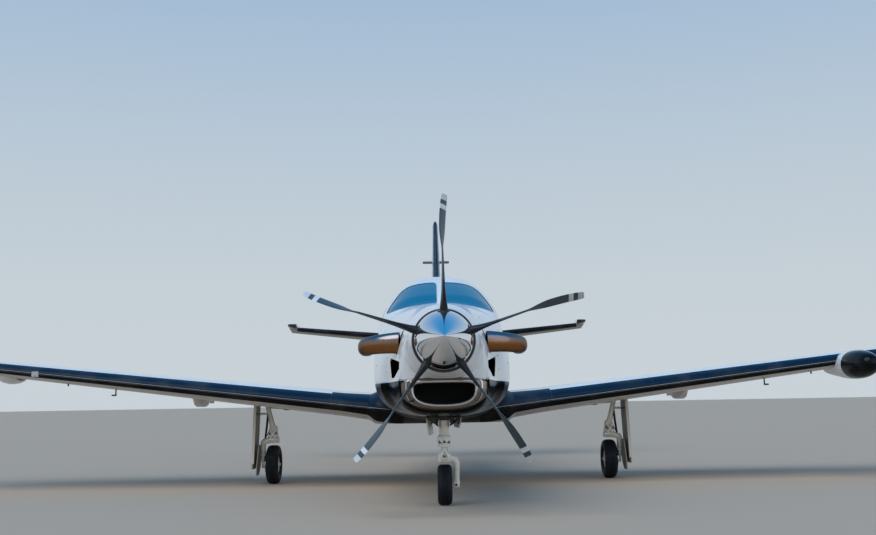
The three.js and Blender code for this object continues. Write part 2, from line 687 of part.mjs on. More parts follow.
// Seats: side view as a distance behind the seat's middle and a height, and the foot beneath
const SEAT = { offset: 300, half: 190, footHalf: 90, footReach: 130, footTop: 1250 };
const SEAT_SIDE = [[-230, 1240], [230, 1220], [380, 1860], [250, 1860], [140, 1350], [-230, 1370]];
const CROSS_BAR = { half: 360, reach: 60, thickness: 20 };
const SEAT_ROWS = [
  { name: 'front_seats', station: 3760, facing: 1 },
  { name: 'mid_seats', station: 4780, facing: -1 },
  { name: 'rear_seats', station: 5900, facing: 1 },
];
for (const { name, station, facing } of SEAT_ROWS) {
  const foot = FLOOR.top + SEAT_GAP;
  const barReach = [station - CROSS_BAR.reach, station + CROSS_BAR.reach];
  const footReach = [station - SEAT.footReach, station + SEAT.footReach];
  const outline = SEAT_SIDE.map(([behind, z]) => [station + facing * behind, z]);
  let pair = block([-CROSS_BAR.half, CROSS_BAR.half], barReach, [foot, foot + CROSS_BAR.thickness]);
  for (const middle of [-SEAT.offset, SEAT.offset]) {
    const footAcross = [middle - SEAT.footHalf, middle + SEAT.footHalf];
    pair = pair.add(sidePrism(outline, middle - SEAT.half, middle + SEAT.half))
      .add(block(footAcross, footReach, [foot, SEAT.footTop]));
  }
  add(name, pair, LEATHER);
}

// Tail cone with two small fins beneath
const tailOuter = hull([REAR_BULKHEAD + SEAT_GAP, ...TAIL_STATIONS, TAIL_END]);
const tailHollow = hull([REAR_BULKHEAD, 8000, 9000, 9400], TAIL_WALL);
let tail = tailOuter.subtract(tailHollow);
// The small fins' root and tip: distance from the middle, height in front, height behind
const STRAKE = { front: 8600, back: 9500, half: 7, ends: [[60, 1500, 1620], [250, 1180, 1320]] };
for (const side of [1, -1]) {
  const strake = loft(STRAKE.ends.map(([x, zFront, zBack]) => {
    const [near, far] = [side * x - STRAKE.half, side * x + STRAKE.half];
    const [front, back] = [aft(STRAKE.front), aft(STRAKE.back)];
    return [[near, front, zFront], [far, front, zFront], [far, back, zBack], [near, back, zBack]];
  }));
  tail = tail.add(strake.subtract(tailHollow));
}
const TIE_DOWN = { half: 12, station: [9670, 9730], z: [1560, 1680] };
tail = tail.add(block([-TIE_DOWN.half, TIE_DOWN.half], TIE_DOWN.station, TIE_DOWN.z));

// Wing and tail surfaces
function naca(x) {
  return 5 * (0.2969 * Math.sqrt(x) - 0.126 * x - 0.3516 * x ** 2 + 0.2843 * x ** 3 - 0.1015 * x ** 4);
}

const AIRFOIL_STEPS = [0, 0.006, 0.025, 0.07, 0.15, 0.27, 0.42, 0.62, 0.84, 1];
// Tip rounding: distance in from the tip, share of the thickness kept, share of the chord cut in front
const TIP_ROUNDING = [[130, 1, 0], [80, 0.92, 0.008], [50, 0.8, 0.02], [18, 0.5, 0.05], [0, 0.25, 0.09]];
// Points round a moving part's nose and round the hollow it turns in
const NOSE_STEPS = 8;
const HOLLOW_STEPS = 10;
// The hollow's open end: share of the chord, and how much it widens above and below
const HOLLOW_END = { fraction: 1.1, above: 12, below: 60 };

function surfaceAt(shape, span) {
  const t = span / shape.tipSpan;
  const mix = (a, b) => a + (b - a) * t;
  return {
    chord: mix(shape.rootChord, shape.tipChord),
    lead: mix(shape.rootLead, shape.tipLead),
    thickness: mix(shape.rootThickness, shape.tipThickness),
  };
}

// A point on a lifting surface: span out along the dihedral, fraction of chord, height off the chord
function surfacePoint(shape, span, fraction, height) {
  const { chord, lead } = surfaceAt(shape, span);
  const back = (fraction - 0.25) * chord;
  const [c, s] = [Math.cos(shape.incidence), Math.sin(shape.incidence)];
  const station = lead + 0.25 * chord + back * c + height * s;
  const up = height * c - back * s;
  return [
    span * Math.cos(shape.dihedral) - up * Math.sin(shape.dihedral),
    station,
    shape.height + span * Math.sin(shape.dihedral) + up * Math.cos(shape.dihedral),
  ];
}

function camberLine(shape, span, fraction) {
  return shape.camber * 4 * fraction * (1 - fraction) * surfaceAt(shape, span).chord;
}

function halfThickness(shape, span, fraction) {
  const { chord, thickness } = surfaceAt(shape, span);
  return Math.max(naca(fraction) * thickness * chord, THIN_EDGE);
}

function world([x, station, z]) {
  return [x, aft(station), z];
}

function airfoilRing(shape, span, thin = 1, trim = 0) {
  const at = (fraction, side) => {
    const f = trim + fraction * (1 - trim);
    const half = fraction === 0 ? 0 : thin * halfThickness(shape, span, f);
    return world(surfacePoint(shape, span, f, camberLine(shape, span, f) + side * half));
  };
  const upper = AIRFOIL_STEPS.map((fraction) => at(fraction, 1));
  const lower = AIRFOIL_STEPS.slice(1).reverse().map((fraction) => at(fraction, -1));
  return [...upper, ...lower];
}

function surfaceBody(shape) {
  return loft([
    airfoilRing(shape, shape.rootSpan),
    ...TIP_ROUNDING.map(([inset, thin, trim]) => airfoilRing(shape, shape.tipSpan - inset, thin, trim)),
  ]);
}

// The moving rear part of a surface between two spans, aft of a hinge at a fraction of the chord
function movingPart(shape, hinge, from, to) {
  return loft([from, to].map((span) => {
    const radius = halfThickness(shape, span, hinge);
    const centre = camberLine(shape, span, hinge);
    const { chord } = surfaceAt(shape, span);
    const ring = [];
    for (let k = 0; k <= NOSE_STEPS; k += 1) {
      const angle = -Math.PI / 2 - (Math.PI * k) / NOSE_STEPS;
      const f = hinge + (radius * Math.cos(angle)) / chord;
      ring.push(world(surfacePoint(shape, span, f, centre + radius * Math.sin(angle))));
    }
    for (const [f, side] of [[0.5, 1], [1, 1], [1, -1], [0.5, -1]]) {
      const at = hinge + f * (1 - hinge);
      const height = camberLine(shape, span, at) + side * halfThickness(shape, span, at);
      ring.push(world(surfacePoint(shape, span, at, height)));
    }
    return ring;
  }));
}

function movingCut(shape, hinge, from, to, gap) {
  return loft([from - gap, to + gap].map((span) => {
    const radius = halfThickness(shape, span, hinge) + MOVING_GAP;
    const centre = camberLine(shape, span, hinge);
    const { chord } = surfaceAt(shape, span);
    const ring = [];
    for (let k = 0; k <= HOLLOW_STEPS; k += 1) {
      const angle = -Math.PI / 2 - (Math.PI * k) / HOLLOW_STEPS;
      const f = hinge + (radius * Math.cos(angle)) / chord;
      ring.push(world(surfacePoint(shape, span, f, centre + radius * Math.sin(angle))));
    }
    ring.push(world(surfacePoint(shape, span, HOLLOW_END.fraction, centre + radius + HOLLOW_END.above)));
    ring.push(world(surfacePoint(shape, span, HOLLOW_END.fraction, centre - radius - HOLLOW_END.below)));
    return ring;
  }));
}

function hingePoint(shape, hinge, span) {
  return surfacePoint(shape, span, hinge, camberLine(shape, span, hinge));
}

// Pins that carry a moving part at both ends, and the bores they turn in
const END_PIN = { radius: 7.7, bore: 8.6, depth: 34, root: 8, boreEnd: 4, sides: 8 };

function endPins(shape, hinge, from, to, gap, { radius, root, deeper }) {
  const at = (span) => hingePoint(shape, hinge, span);
  const depth = END_PIN.depth + deeper;
  return [
    rod(at(from - gap - root), at(from + depth), radius, END_PIN.sides),
    rod(at(to - depth), at(to + gap + root), radius, END_PIN.sides),
  ];
}

function fitMoving(body, shape, hinge, from, to, gap) {
  let fixed = body.subtract(movingCut(shape, hinge, from, to, gap));
  let moving = movingPart(shape, hinge, from, to);
  const bores = { radius: END_PIN.bore, root: 0, deeper: END_PIN.boreEnd };
  const pins = { radius: END_PIN.radius, root: END_PIN.root, deeper: 0 };
  for (const bore of endPins(shape, hinge, from, to, gap, bores)) {
    moving = moving.subtract(bore);
  }
  for (const pin of endPins(shape, hinge, from, to, gap, pins)) {
    fixed = fixed.add(pin);
  }
  return [fixed, moving];
}

const FLAP = { hinge: 0.73, from: 810, to: 4770, gap: 12 };
const AILERON = { hinge: 0.74, from: 4830, to: 6200, gap: 8 };
let wing = surfaceBody(WING);
let flap;
let aileron;
[wing, flap] = fitMoving(wing, WING, FLAP.hinge, FLAP.from, FLAP.to, FLAP.gap);
[wing, aileron] = fitMoving(wing, WING, AILERON.hinge, AILERON.from, AILERON.to, AILERON.gap);

// Flap track fairing: station, height of its underside, half width at its top and at its underside
const TRACK = { x: 2765, top: 1040 };
const TRACK_ROWS = [
  [4090, 975, 30, 14],
  [4160, 925, 62, 30],
  [4260, 885, 84, 42],
  [4400, 868, 90, 46],
  [4540, 878, 86, 42],
  [4640, 900, 76, 36],
];
const trackFairing = loft(TRACK_ROWS.map(([station, low, wide, narrow]) => [
  [TRACK.x - wide, aft(station), TRACK.top],
  [TRACK.x + wide, aft(station), TRACK.top],
  [TRACK.x + narrow, aft(station), low],
  [TRACK.x - narrow, aft(station), low],
]));
wing = wing.add(trackFairing);

// Slim masts under each wing
const MASTS = [
  { x: 4150, station: 3960, z: [1086, 1230], half: 5, reach: 20 },
  { x: 3610, station: 3930, z: [992, 1180], half: 6, reach: 16 },
];
// The bent probe's tube, forward from the inner mast's foot
const PROBE = { x: 3610, z: 1000, back: 3938, front: 3790, radius: 9 };
for (const { x, station, z, half, reach } of MASTS) {
  wing = wing.add(block([x - half, x + half], [station - reach, station + reach], z));
}
wing = wing.add(rod([PROBE.x, PROBE.back, PROBE.z], [PROBE.x, PROBE.front, PROBE.z], PROBE.radius));

// Jacking pads with flat faces under the wings
const JACK_PAD = { x: 2620, station: 4300, radius: 45, low: 905, high: 995, sides: 12 };
const padAt = (z) => [JACK_PAD.x, JACK_PAD.station, z];
wing = wing.add(rod(padAt(JACK_PAD.low), padAt(JACK_PAD.high), JACK_PAD.radius, JACK_PAD.sides));

// Leg pocket in the wing's underside, and the flat belly under the wing's root
const POCKET = { x: [1880, 2100], station: [4180, 4560], z: [700, 960] };
const BELLY_CUT = { x: [0, 900], station: [3300, 5700], low: 400 };
wing = wing.subtract(block(POCKET.x, POCKET.station, POCKET.z))
  .subtract(block(BELLY_CUT.x, BELLY_CUT.station, [BELLY_CUT.low, WING.belly]));

// Radar pod on the aircraft's left wing: station, half width, half height, centre height
const POD = { x: 4500, noseHeight: 1228 };
const POD_BODY = [
  [3560, 178, 148, 1228],
  [3720, 180, 150, 1227],
  [4000, 158, 132, 1222],
  [4280, 96, 82, 1214],
  [4470, 26, 22, 1204],
];
// Black nose of the pod: station, half width, half height
const RADOME = [
  [3560, 177, 147],
  [3460, 173, 144],
  [3360, 161, 134],
  [3270, 138, 115],
  [3200, 106, 88],
  [3155, 68, 57],
  [3132, 28, 24],
];
const POD_POINTS = 24;

function ovalRing(station, x, z, halfWidth, halfHeight) {
  return Array.from({ length: POD_POINTS }, (_, k) => {
    const angle = (2 * Math.PI * k) / POD_POINTS;
    return [x + halfWidth * Math.cos(angle), aft(station), z + halfHeight * Math.sin(angle)];
  });
}

const podLoft = (grow) => loft(POD_BODY.map(([s, w, h, z]) => ovalRing(s, POD.x, z, w + grow, h + grow)));
const podShape = podLoft(0);
const radome = loft(RADOME.map(([s, w, h]) => ovalRing(s - SEAT_GAP, POD.x, POD.noseHeight, w, h)));

// Small fairing under the right wing, and the lift sensor's housing on its leading edge
const BULGE = { x: -4775, station: 4190, z: 1262, half: [130, 300, 90], columns: 14, rows: 10 };
const LIFT_SENSOR = { x: [-4465, -4390], station: [3716, 3770], z: [1256, 1300] };
const bulge = new THREE.SphereGeometry(1, BULGE.columns, BULGE.rows);
bulge.scale(...BULGE.half);
bulge.translate(BULGE.x, aft(BULGE.station), BULGE.z);
const wingLeft = wing.subtract(podLoft(SEAT_GAP));
const wingRight = mirrored(wing)
  .add(solidOf(bulge))
  .add(block(LIFT_SENSOR.x, LIFT_SENSOR.station, LIFT_SENSOR.z));
add('wing_left', wingLeft.subtract(wholeHull), WHITE_PAINT);
add('wing_right', wingRight.subtract(wholeHull), WHITE_PAINT);
add('radar_pod', podShape, WHITE_PAINT);
add('radome', radome, BLACK_GLOSS);
add('flap_left', flap, WHITE_PAINT);
add('flap_right', mirrored(flap), WHITE_PAINT);
add('aileron_left', aileron, WHITE_PAINT);
add('aileron_right', mirrored(aileron), WHITE_PAINT);

// Stabiliser and drooped elevators, with a horn at each tip that reaches the leading edge
const ELEVATOR = { hinge: 0.68, from: 250, gap: 8, horn: 2325, droop: THREE.MathUtils.degToRad(7.5) };
// The outboard hinge arm: its span, half width, the notch around it and its reach ahead of the hinge
const HINGE_ARM = { from: 2288, to: 2302, notch: [2280, 2310], clear: 36, reach: 0.58, half: 9, eye: 13.5 };
const ZONE = { half: 90, ahead: -0.4, behind: 1.3, hornBack: 0.69, hornCutBack: 0.75, beyondTip: 60 };
const HINGE_POINTS = 12;
const beyondTip = STAB.tipSpan + ZONE.beyondTip;

function slab(shape, from, to, front, back, half) {
  return loft([from, to].map((span) => [[front, half], [back, half], [back, -half], [front, -half]]
    .map(([f, h]) => world(surfacePoint(shape, span, f, camberLine(shape, span, f) + h)))));
}

function hingeCone(shape, hinge, from, to) {
  return loft([from, to].map((span) => Array.from({ length: HINGE_POINTS }, (_, k) => {
    const angle = (2 * Math.PI * k) / HINGE_POINTS;
    const radius = halfThickness(shape, span, hinge);
    const f = hinge + (radius * Math.cos(angle)) / surfaceAt(shape, span).chord;
    return world(surfacePoint(shape, span, f, camberLine(shape, span, hinge) + radius * Math.sin(angle)));
  })));
}

const atHinge = (span) => hingePoint(STAB, ELEVATOR.hinge, span);
const onHinge = (from, to, radius, sides) => rod(atHinge(from), atHinge(to), radius, sides);
const [notchFrom, notchTo] = HINGE_ARM.notch;
const PIN_END = END_PIN.depth + END_PIN.boreEnd + 2;
const hornBack = slab(STAB, ELEVATOR.horn, beyondTip, ZONE.ahead, ZONE.hornBack, ZONE.half);
const hornCut = slab(
  STAB,
  ELEVATOR.horn - ELEVATOR.gap,
  beyondTip,
  ZONE.ahead,
  ZONE.hornCutBack,
  ZONE.half,
);
const elevatorZone = slab(STAB, ELEVATOR.from, beyondTip, ELEVATOR.hinge, ZONE.behind, ZONE.half)
  .add(hingeCone(STAB, ELEVATOR.hinge, ELEVATOR.from, beyondTip))
  .add(hornBack);
const elevator = surfaceBody(STAB).intersect(elevatorZone)
  .subtract(onHinge(ELEVATOR.from - 2, ELEVATOR.from + PIN_END, END_PIN.bore, END_PIN.sides))
  .subtract(onHinge(notchFrom, notchTo, HINGE_ARM.clear, HINGE_POINTS))
  .subtract(onHinge(notchTo - 2, notchTo + PIN_END, END_PIN.bore, END_PIN.sides));
const stab = surfaceBody(STAB)
  .subtract(movingCut(STAB, ELEVATOR.hinge, ELEVATOR.from, beyondTip, ELEVATOR.gap))
  .subtract(hornCut)
  .add(onHinge(ELEVATOR.from - 20, ELEVATOR.from + END_PIN.depth, END_PIN.radius, END_PIN.sides))
  .add(slab(STAB, HINGE_ARM.from, HINGE_ARM.to, HINGE_ARM.reach, ELEVATOR.hinge, HINGE_ARM.half))
  .add(onHinge(HINGE_ARM.from, HINGE_ARM.to, HINGE_ARM.eye, HINGE_POINTS))
  .add(onHinge(HINGE_ARM.from + 2, notchTo + END_PIN.depth, END_PIN.radius, END_PIN.sides));
add('stabiliser_left', stab.subtract(wholeHull), WHITE_PAINT);
add('stabiliser_right', mirrored(stab).subtract(wholeHull), WHITE_PAINT);

function turnedAbout(solid, from, to, angle) {
  const pivot = new THREE.Vector3(...world(from));
  const along = new THREE.Vector3(...world(to)).sub(pivot).normalize();
  const geometry = geometryOf(solid);
  geometry.translate(-pivot.x, -pivot.y, -pivot.z);
  geometry.applyQuaternion(new THREE.Quaternion().setFromAxisAngle(along, angle));
  geometry.translate(pivot.x, pivot.y, pivot.z);
  return solidOf(geometry);
}

const [hingeFrom, hingeTo] = [atHinge(ELEVATOR.from), atHinge(STAB.tipSpan)];
const elevatorDrooped = turnedAbout(elevator, hingeFrom, hingeTo, -ELEVATOR.droop);
add('elevator_left', elevatorDrooped, WHITE_PAINT);
add('elevator_right', mirrored(elevatorDrooped), WHITE_PAINT);

// Fin and rudder
function finAt(z) {
  const t = (z - FIN.footHeight) / (FIN.tipHeight - FIN.footHeight);
  return {
    chord: FIN.footChord + (FIN.tipChord - FIN.footChord) * t,
    lead: FIN.footLead + (FIN.tipLead - FIN.footLead) * t,
  };
}

function finRing(z, thin = 1, trim = 0) {
  const { chord, lead } = finAt(z);
  const at = (fraction, side) => {
    const f = trim + fraction * (1 - trim);
    const half = fraction === 0 ? 0 : Math.max(naca(f) * FIN.thickness * chord * thin, THIN_EDGE);
    return [side * half, aft(lead + f * chord), z];
  };
  const upper = AIRFOIL_STEPS.map((fraction) => at(fraction, 1));
  const lower = AIRFOIL_STEPS.slice(1).reverse().map((fraction) => at(fraction, -1));
  return [...upper, ...lower];
}

const RUDDER = {
  low: 1945,
  high: 3850,
  gap: 10,
  lowHinge: 10040,
  highHinge: 10330,
  overrun: 80,
  pinDepth: 40,
};
// Fin tip rounding: distance below the tip, share of the thickness kept, share of the chord cut in front
const FIN_TIP = [[70, 1, 0], [45, 0.9, 0.01], [20, 0.75, 0.03], [6, 0.5, 0.06], [0, 0.25, 0.1]];

function rudderHinge(z) {
  const t = (z - RUDDER.low) / (RUDDER.high - RUDDER.low);
  return [0, RUDDER.lowHinge + (RUDDER.highHinge - RUDDER.lowHinge) * t, z];
}

// A rudder section, or with a gap and an overrun a section of the hollow it turns in
function rudderRing(z, gap = 0, overrun = 0) {
  const [, hinge] = rudderHinge(z);
  const { chord, lead } = finAt(z);
  const fraction = Math.min((hinge - lead) / chord, 1);
  const radius = Math.max(naca(fraction) * FIN.thickness * chord, THIN_EDGE) + gap;
  const end = lead + chord + overrun;
  const tail = overrun ? radius : THIN_EDGE;
  const ring = [];
  for (let k = 0; k <= NOSE_STEPS; k += 1) {
    const angle = -Math.PI / 2 - (Math.PI * k) / NOSE_STEPS;
    ring.push([radius * Math.sin(angle), aft(hinge + radius * Math.cos(angle)), z]);
  }
  ring.push([tail, aft(end), z], [-tail, aft(end), z]);
  return ring;
}

// Side view of the fillet ahead of the fin: station, height
const DORSAL = [[7500, 2150], [8950, 2520], [9150, 2300], [8900, 1990], [7600, 2090]];
const DORSAL_HALF = 16;
const rudderHollow = loft([RUDDER.low - RUDDER.gap, RUDDER.high + RUDDER.gap]
  .map((z) => rudderRing(z, MOVING_GAP, RUDDER.overrun)));
const finBody = loft([
  finRing(FIN.footHeight),
  ...FIN_TIP.map(([below, thin, trim]) => finRing(FIN.tipHeight - below, thin, trim)),
]);
let fin = finBody.add(sidePrism(DORSAL, -DORSAL_HALF, DORSAL_HALF)).subtract(rudderHollow);
let rudder = loft([RUDDER.low, RUDDER.high].map((z) => rudderRing(z)));
for (const [z, way] of [[RUDDER.low, 1], [RUDDER.high, -1]]) {
  const reach = (from, to, radius) => rod(
    rudderHinge(z + way * from),
    rudderHinge(z + way * to),
    radius,
    END_PIN.sides,
  );
  rudder = rudder.subtract(reach(-2, RUDDER.pinDepth + END_PIN.boreEnd, END_PIN.bore));
  fin = fin.add(reach(-RUDDER.gap - END_PIN.root, RUDDER.pinDepth, END_PIN.radius));
}
// The navigation antenna is a round bar through the fin
const ANTENNA = { half: 222, station: 9640, height: 3232, radius: 21, sides: 12 };
const antennaBar = (half, radius) => rod(
  [-half, ANTENNA.station, ANTENNA.height],
  [half, ANTENNA.station, ANTENNA.height],
  radius,
  ANTENNA.sides,
);
const antennaBore = antennaBar(ANTENNA.half * 2, ANTENNA.radius + SEAT_GAP);
add('fin', fin.subtract(antennaBore).subtract(wholeHull), WHITE_PAINT);
add('rudder', rudder, WHITE_PAINT);
add('nav_antenna', antennaBar(ANTENNA.half, ANTENNA.radius), TRIM_GREY);
add('tail_cone', tail, WHITE_PAINT);

// Wheels: a tyre and a rim that share an axle along X
// Tyre section from bead to tread: share of the way out from the rim, share of the half width
const TYRE_SHAPE = [[0, 0.64], [0.2, 0.9], [0.5, 1], [0.78, 0.93], [0.94, 0.72], [1, 0.42]];

function tyreProfile(radius, half, bore) {
  const inward = TYRE_SHAPE.map(([up, out]) => [bore + up * (radius - bore), -out * half]);
  const outward = TYRE_SHAPE.toReversed().map(([up, out]) => [bore + up * (radius - bore), out * half]);
  return [...inward, ...outward, inward[0]];
}

function rimProfile(radius, half, bore) {
  const seat = radius - SEAT_GAP * 2;
  return [
    [bore, -half * 0.8], [radius * 0.45, -half * 0.8], [radius * 0.6, -half * 0.35],
    [seat, -half * 0.66], [seat, half * 0.66],
    [radius * 0.6, half * 0.35], [radius * 0.45, half * 0.8], [bore, half * 0.8], [bore, -half * 0.8],
  ];
}

const TYRE_SEGMENTS = 24;
const AXLE = { radius: 15.6, bore: 16.6 };

function wheel(name, x, gear) {
  const { tyreRadius, tyreHalfWidth, rimRadius, axle } = gear;
  const turn = Math.PI / TYRE_SEGMENTS;
  const rise = tyreRadius * Math.cos(turn);
  const onAxle = (profile) => turnedAcross(profile, x, axle, rise, TYRE_SEGMENTS, turn);
  add(`${name}_tyre`, onAxle(tyreProfile(tyreRadius, tyreHalfWidth, rimRadius)), TYRE_RUBBER);
  add(`${name}_rim`, onAxle(rimProfile(rimRadius, tyreHalfWidth, AXLE.bore)), GEAR_PAINT);
}

wheel('nose', 0, NOSE_GEAR);
wheel('main_left', MAIN_GEAR.lateral, MAIN_GEAR);
wheel('main_right', -MAIN_GEAR.lateral, MAIN_GEAR);
const noseAxleHeight = NOSE_GEAR.tyreRadius * Math.cos(Math.PI / TYRE_SEGMENTS);
const mainAxleHeight = MAIN_GEAR.tyreRadius * Math.cos(Math.PI / TYRE_SEGMENTS);

// Nose leg: a cylinder up to the engine bay, a brace back to the firewall, and a collar
const strut = (z, x = 0) => [x, NOSE_GEAR.strut, z];
const PISTON = { radius: 28, bore: 28 + PIN_FIT, low: 430, high: 632 };
const BRACE_HEIGHT = 930;
const noseLeg = rod(strut(560), strut(960), 41)
  .add(rod(strut(500), strut(562), 58))
  .add(rod(strut(BRACE_HEIGHT), [0, FIREWALL - 1, BRACE_HEIGHT], 26, 8))
  .add(rod([0, FIREWALL - 12, BRACE_HEIGHT], [0, FIREWALL - SEAT_GAP, BRACE_HEIGHT], 60))
  .add(rod(strut(850, -120), strut(850, 120), 18, 8))
  .subtract(rod(strut(480), strut(640), PISTON.bore, 24));
add('nose_leg', noseLeg, GEAR_PAINT);

// Nose fork: the piston, a boss, one arm on the aircraft's left and the axle
const arm = NOSE_GEAR.armOffset;
const noseAxle = (x) => [x, NOSE_GEAR.axle, noseAxleHeight];
const armTop = [arm, NOSE_GEAR.strut + 45, 380];
const noseFork = rod(strut(PISTON.low), strut(PISTON.high), PISTON.radius)
  .add(rod(strut(400), strut(470), 52))
  .add(rod(strut(432), armTop, 32, 10, 26))
  .add(rod(armTop, noseAxle(arm), 26, 10, 22))
  .add(rod(noseAxle(arm - 26), noseAxle(arm + 26), 34))
  .add(rod(noseAxle(-58), noseAxle(arm), AXLE.radius));
add('nose_fork', noseFork, GEAR_PAINT);

// A thin leaf hanging down: x at its top and bottom, its heights and its stations
function leaf({ top, low, stations, thickness }) {
  const [[topX, topZ], [lowX, lowZ]] = [top, low];
  const outline = [[topX, topZ], [topX + thickness, topZ], [lowX + thickness, lowZ], [lowX, lowZ]];
  return frontPrism(outline, () => stations[0], () => stations[1]);
}

// Nose doors, their tops cut to the cowl's belly
const NOSE_DOORS = [
  { name: 'nose_door_right', top: [-166, 800], low: [-136, 608], stations: [1480, 2120], thickness: 16 },
  { name: 'nose_door_left', top: [150, 800], low: [126, 668], stations: [1480, 2120], thickness: 16 },
];
for (const row of NOSE_DOORS) {
  add(row.name, leaf(row).subtract(wholeHull), WHITE_PAINT);
}

// Main leg on the aircraft's left: an inclined cylinder, a knee block, a trailing arm outboard of the wheel
const KNEE = {
  x: 1890,
  station: 4330,
  z: 600,
  across: [1842, 1938],
  along: [4270, 4390],
  heights: [505, 650],
};
const LEG_TOP = { x: 2002, station: 4320, z: 975 };
const armX = MAIN_GEAR.armOffset;
const mainAxle = (x) => [x, MAIN_GEAR.axle, mainAxleHeight];
const UPPER_DOOR = { top: [2116, 930], low: [2158, 190], stations: [4160, 4640], thickness: 16 };
const LOWER_DOOR = { top: [2076, 445], low: [2110, 96], stations: [4300, 4620], thickness: 14 };
// A door with its inner face moved in by the seat gap and its outer face far outboard
const outboardOf = (door) => leaf({
  ...door,
  top: [door.top[0] - SEAT_GAP, door.top[1]],
  low: [door.low[0] - SEAT_GAP, door.low[1]],
  thickness: 500,
});
const upperLink = rod([1950, 4326, 800], [2250, 4326, 785], 14, 8).subtract(outboardOf(UPPER_DOOR));
const lowerLink = rod([armX, 4400, 330], [2250, 4400, 330], 14, 8).subtract(outboardOf(LOWER_DOOR));
const abovePocket = block(POCKET.x, POCKET.station, [POCKET.z[1] - SEAT_GAP, POCKET.z[1] + 200]);
const mainLeg = rod([LEG_TOP.x, LEG_TOP.station, LEG_TOP.z], [KNEE.x, KNEE.station, KNEE.z], 38)
  .add(rod([2040, 4250, 925], [2040, 4520, 925], 30, 8))
  .add(block(KNEE.across, KNEE.along, KNEE.heights))
  .add(rod([KNEE.x, KNEE.station, KNEE.z - 62], [armX, KNEE.station + 12, KNEE.z - 75], 34, 10))
  .add(rod([armX, KNEE.station + 8, KNEE.z - 72], mainAxle(armX), 30, 10, 24))
  .add(rod(mainAxle(armX - 22), mainAxle(armX + 22), 42))
  .add(rod(mainAxle(MAIN_GEAR.lateral - 74), mainAxle(armX), AXLE.radius))
  .add(rod([2002, 4520, 915], [armX, 4440, 420], 20, 8))
  .add(upperLink)
  .add(lowerLink)
  .subtract(abovePocket);
const wingUnderside = shifted(wing, [0, 0, -SEAT_GAP]);
const upperDoor = leaf(UPPER_DOOR).subtract(wing).subtract(wingUnderside);
for (const [side, place] of [['left', (solid) => solid], ['right', mirrored]]) {
  add(`main_leg_${side}`, place(mainLeg), GEAR_PAINT);
  add(`main_door_upper_${side}`, place(upperDoor), WHITE_PAINT);
  add(`main_door_lower_${side}`, place(leaf(LOWER_DOOR)), WHITE_PAINT);
}

export default aircraft;
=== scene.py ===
import logging
from collections.abc import Callable, Iterable, Sequence
from dataclasses import dataclass, replace
from enum import Enum
from math import ceil, cos, exp, pi, radians, sin, sqrt

import bmesh
import bpy
import numpy as np
from mathutils import Matrix, Vector


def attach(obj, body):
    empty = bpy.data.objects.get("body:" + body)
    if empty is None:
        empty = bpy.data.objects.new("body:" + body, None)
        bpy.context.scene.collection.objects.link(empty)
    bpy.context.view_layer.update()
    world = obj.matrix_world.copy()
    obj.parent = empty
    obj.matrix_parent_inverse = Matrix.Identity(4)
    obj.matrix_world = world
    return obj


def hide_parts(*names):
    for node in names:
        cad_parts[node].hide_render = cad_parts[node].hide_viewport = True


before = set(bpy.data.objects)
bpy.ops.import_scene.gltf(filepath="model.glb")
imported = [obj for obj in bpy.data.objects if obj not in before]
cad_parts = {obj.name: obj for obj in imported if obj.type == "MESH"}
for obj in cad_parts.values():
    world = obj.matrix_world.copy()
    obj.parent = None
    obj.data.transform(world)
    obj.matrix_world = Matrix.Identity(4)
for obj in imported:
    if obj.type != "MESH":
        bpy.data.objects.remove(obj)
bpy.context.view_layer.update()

LOG = logging.getLogger("aircraft")
MM = 0.001
TIP = np.array([0.0, 5320.0, 0.0])
WELD = 1e-6
SHARP_ANGLE = 32.0
AXIS_NUMBER = {"x": 0, "y": 1, "z": 2}
Colour = tuple[float, float, float]
Spot = Sequence[float]
Path = Sequence[Spot]
Rows = tuple[tuple[float, ...], ...]
Outline = list[tuple[float, float]]
Piece = bpy.types.Object
Socket = bpy.types.NodeSocket
Value = Socket | float | Colour
Mask = Callable[["Graph", "Axes"], Socket]


class Effect(Enum):
    """The shared shader groups."""

    BAND = "fx_band"
    SEAM = "fx_seam"
    MOTTLE = "fx_mottle"
    TINT = "fx_tint"
    GRIME = "fx_grime"
    RIVETS = "fx_rivets"
    GRAIN = "fx_grain"


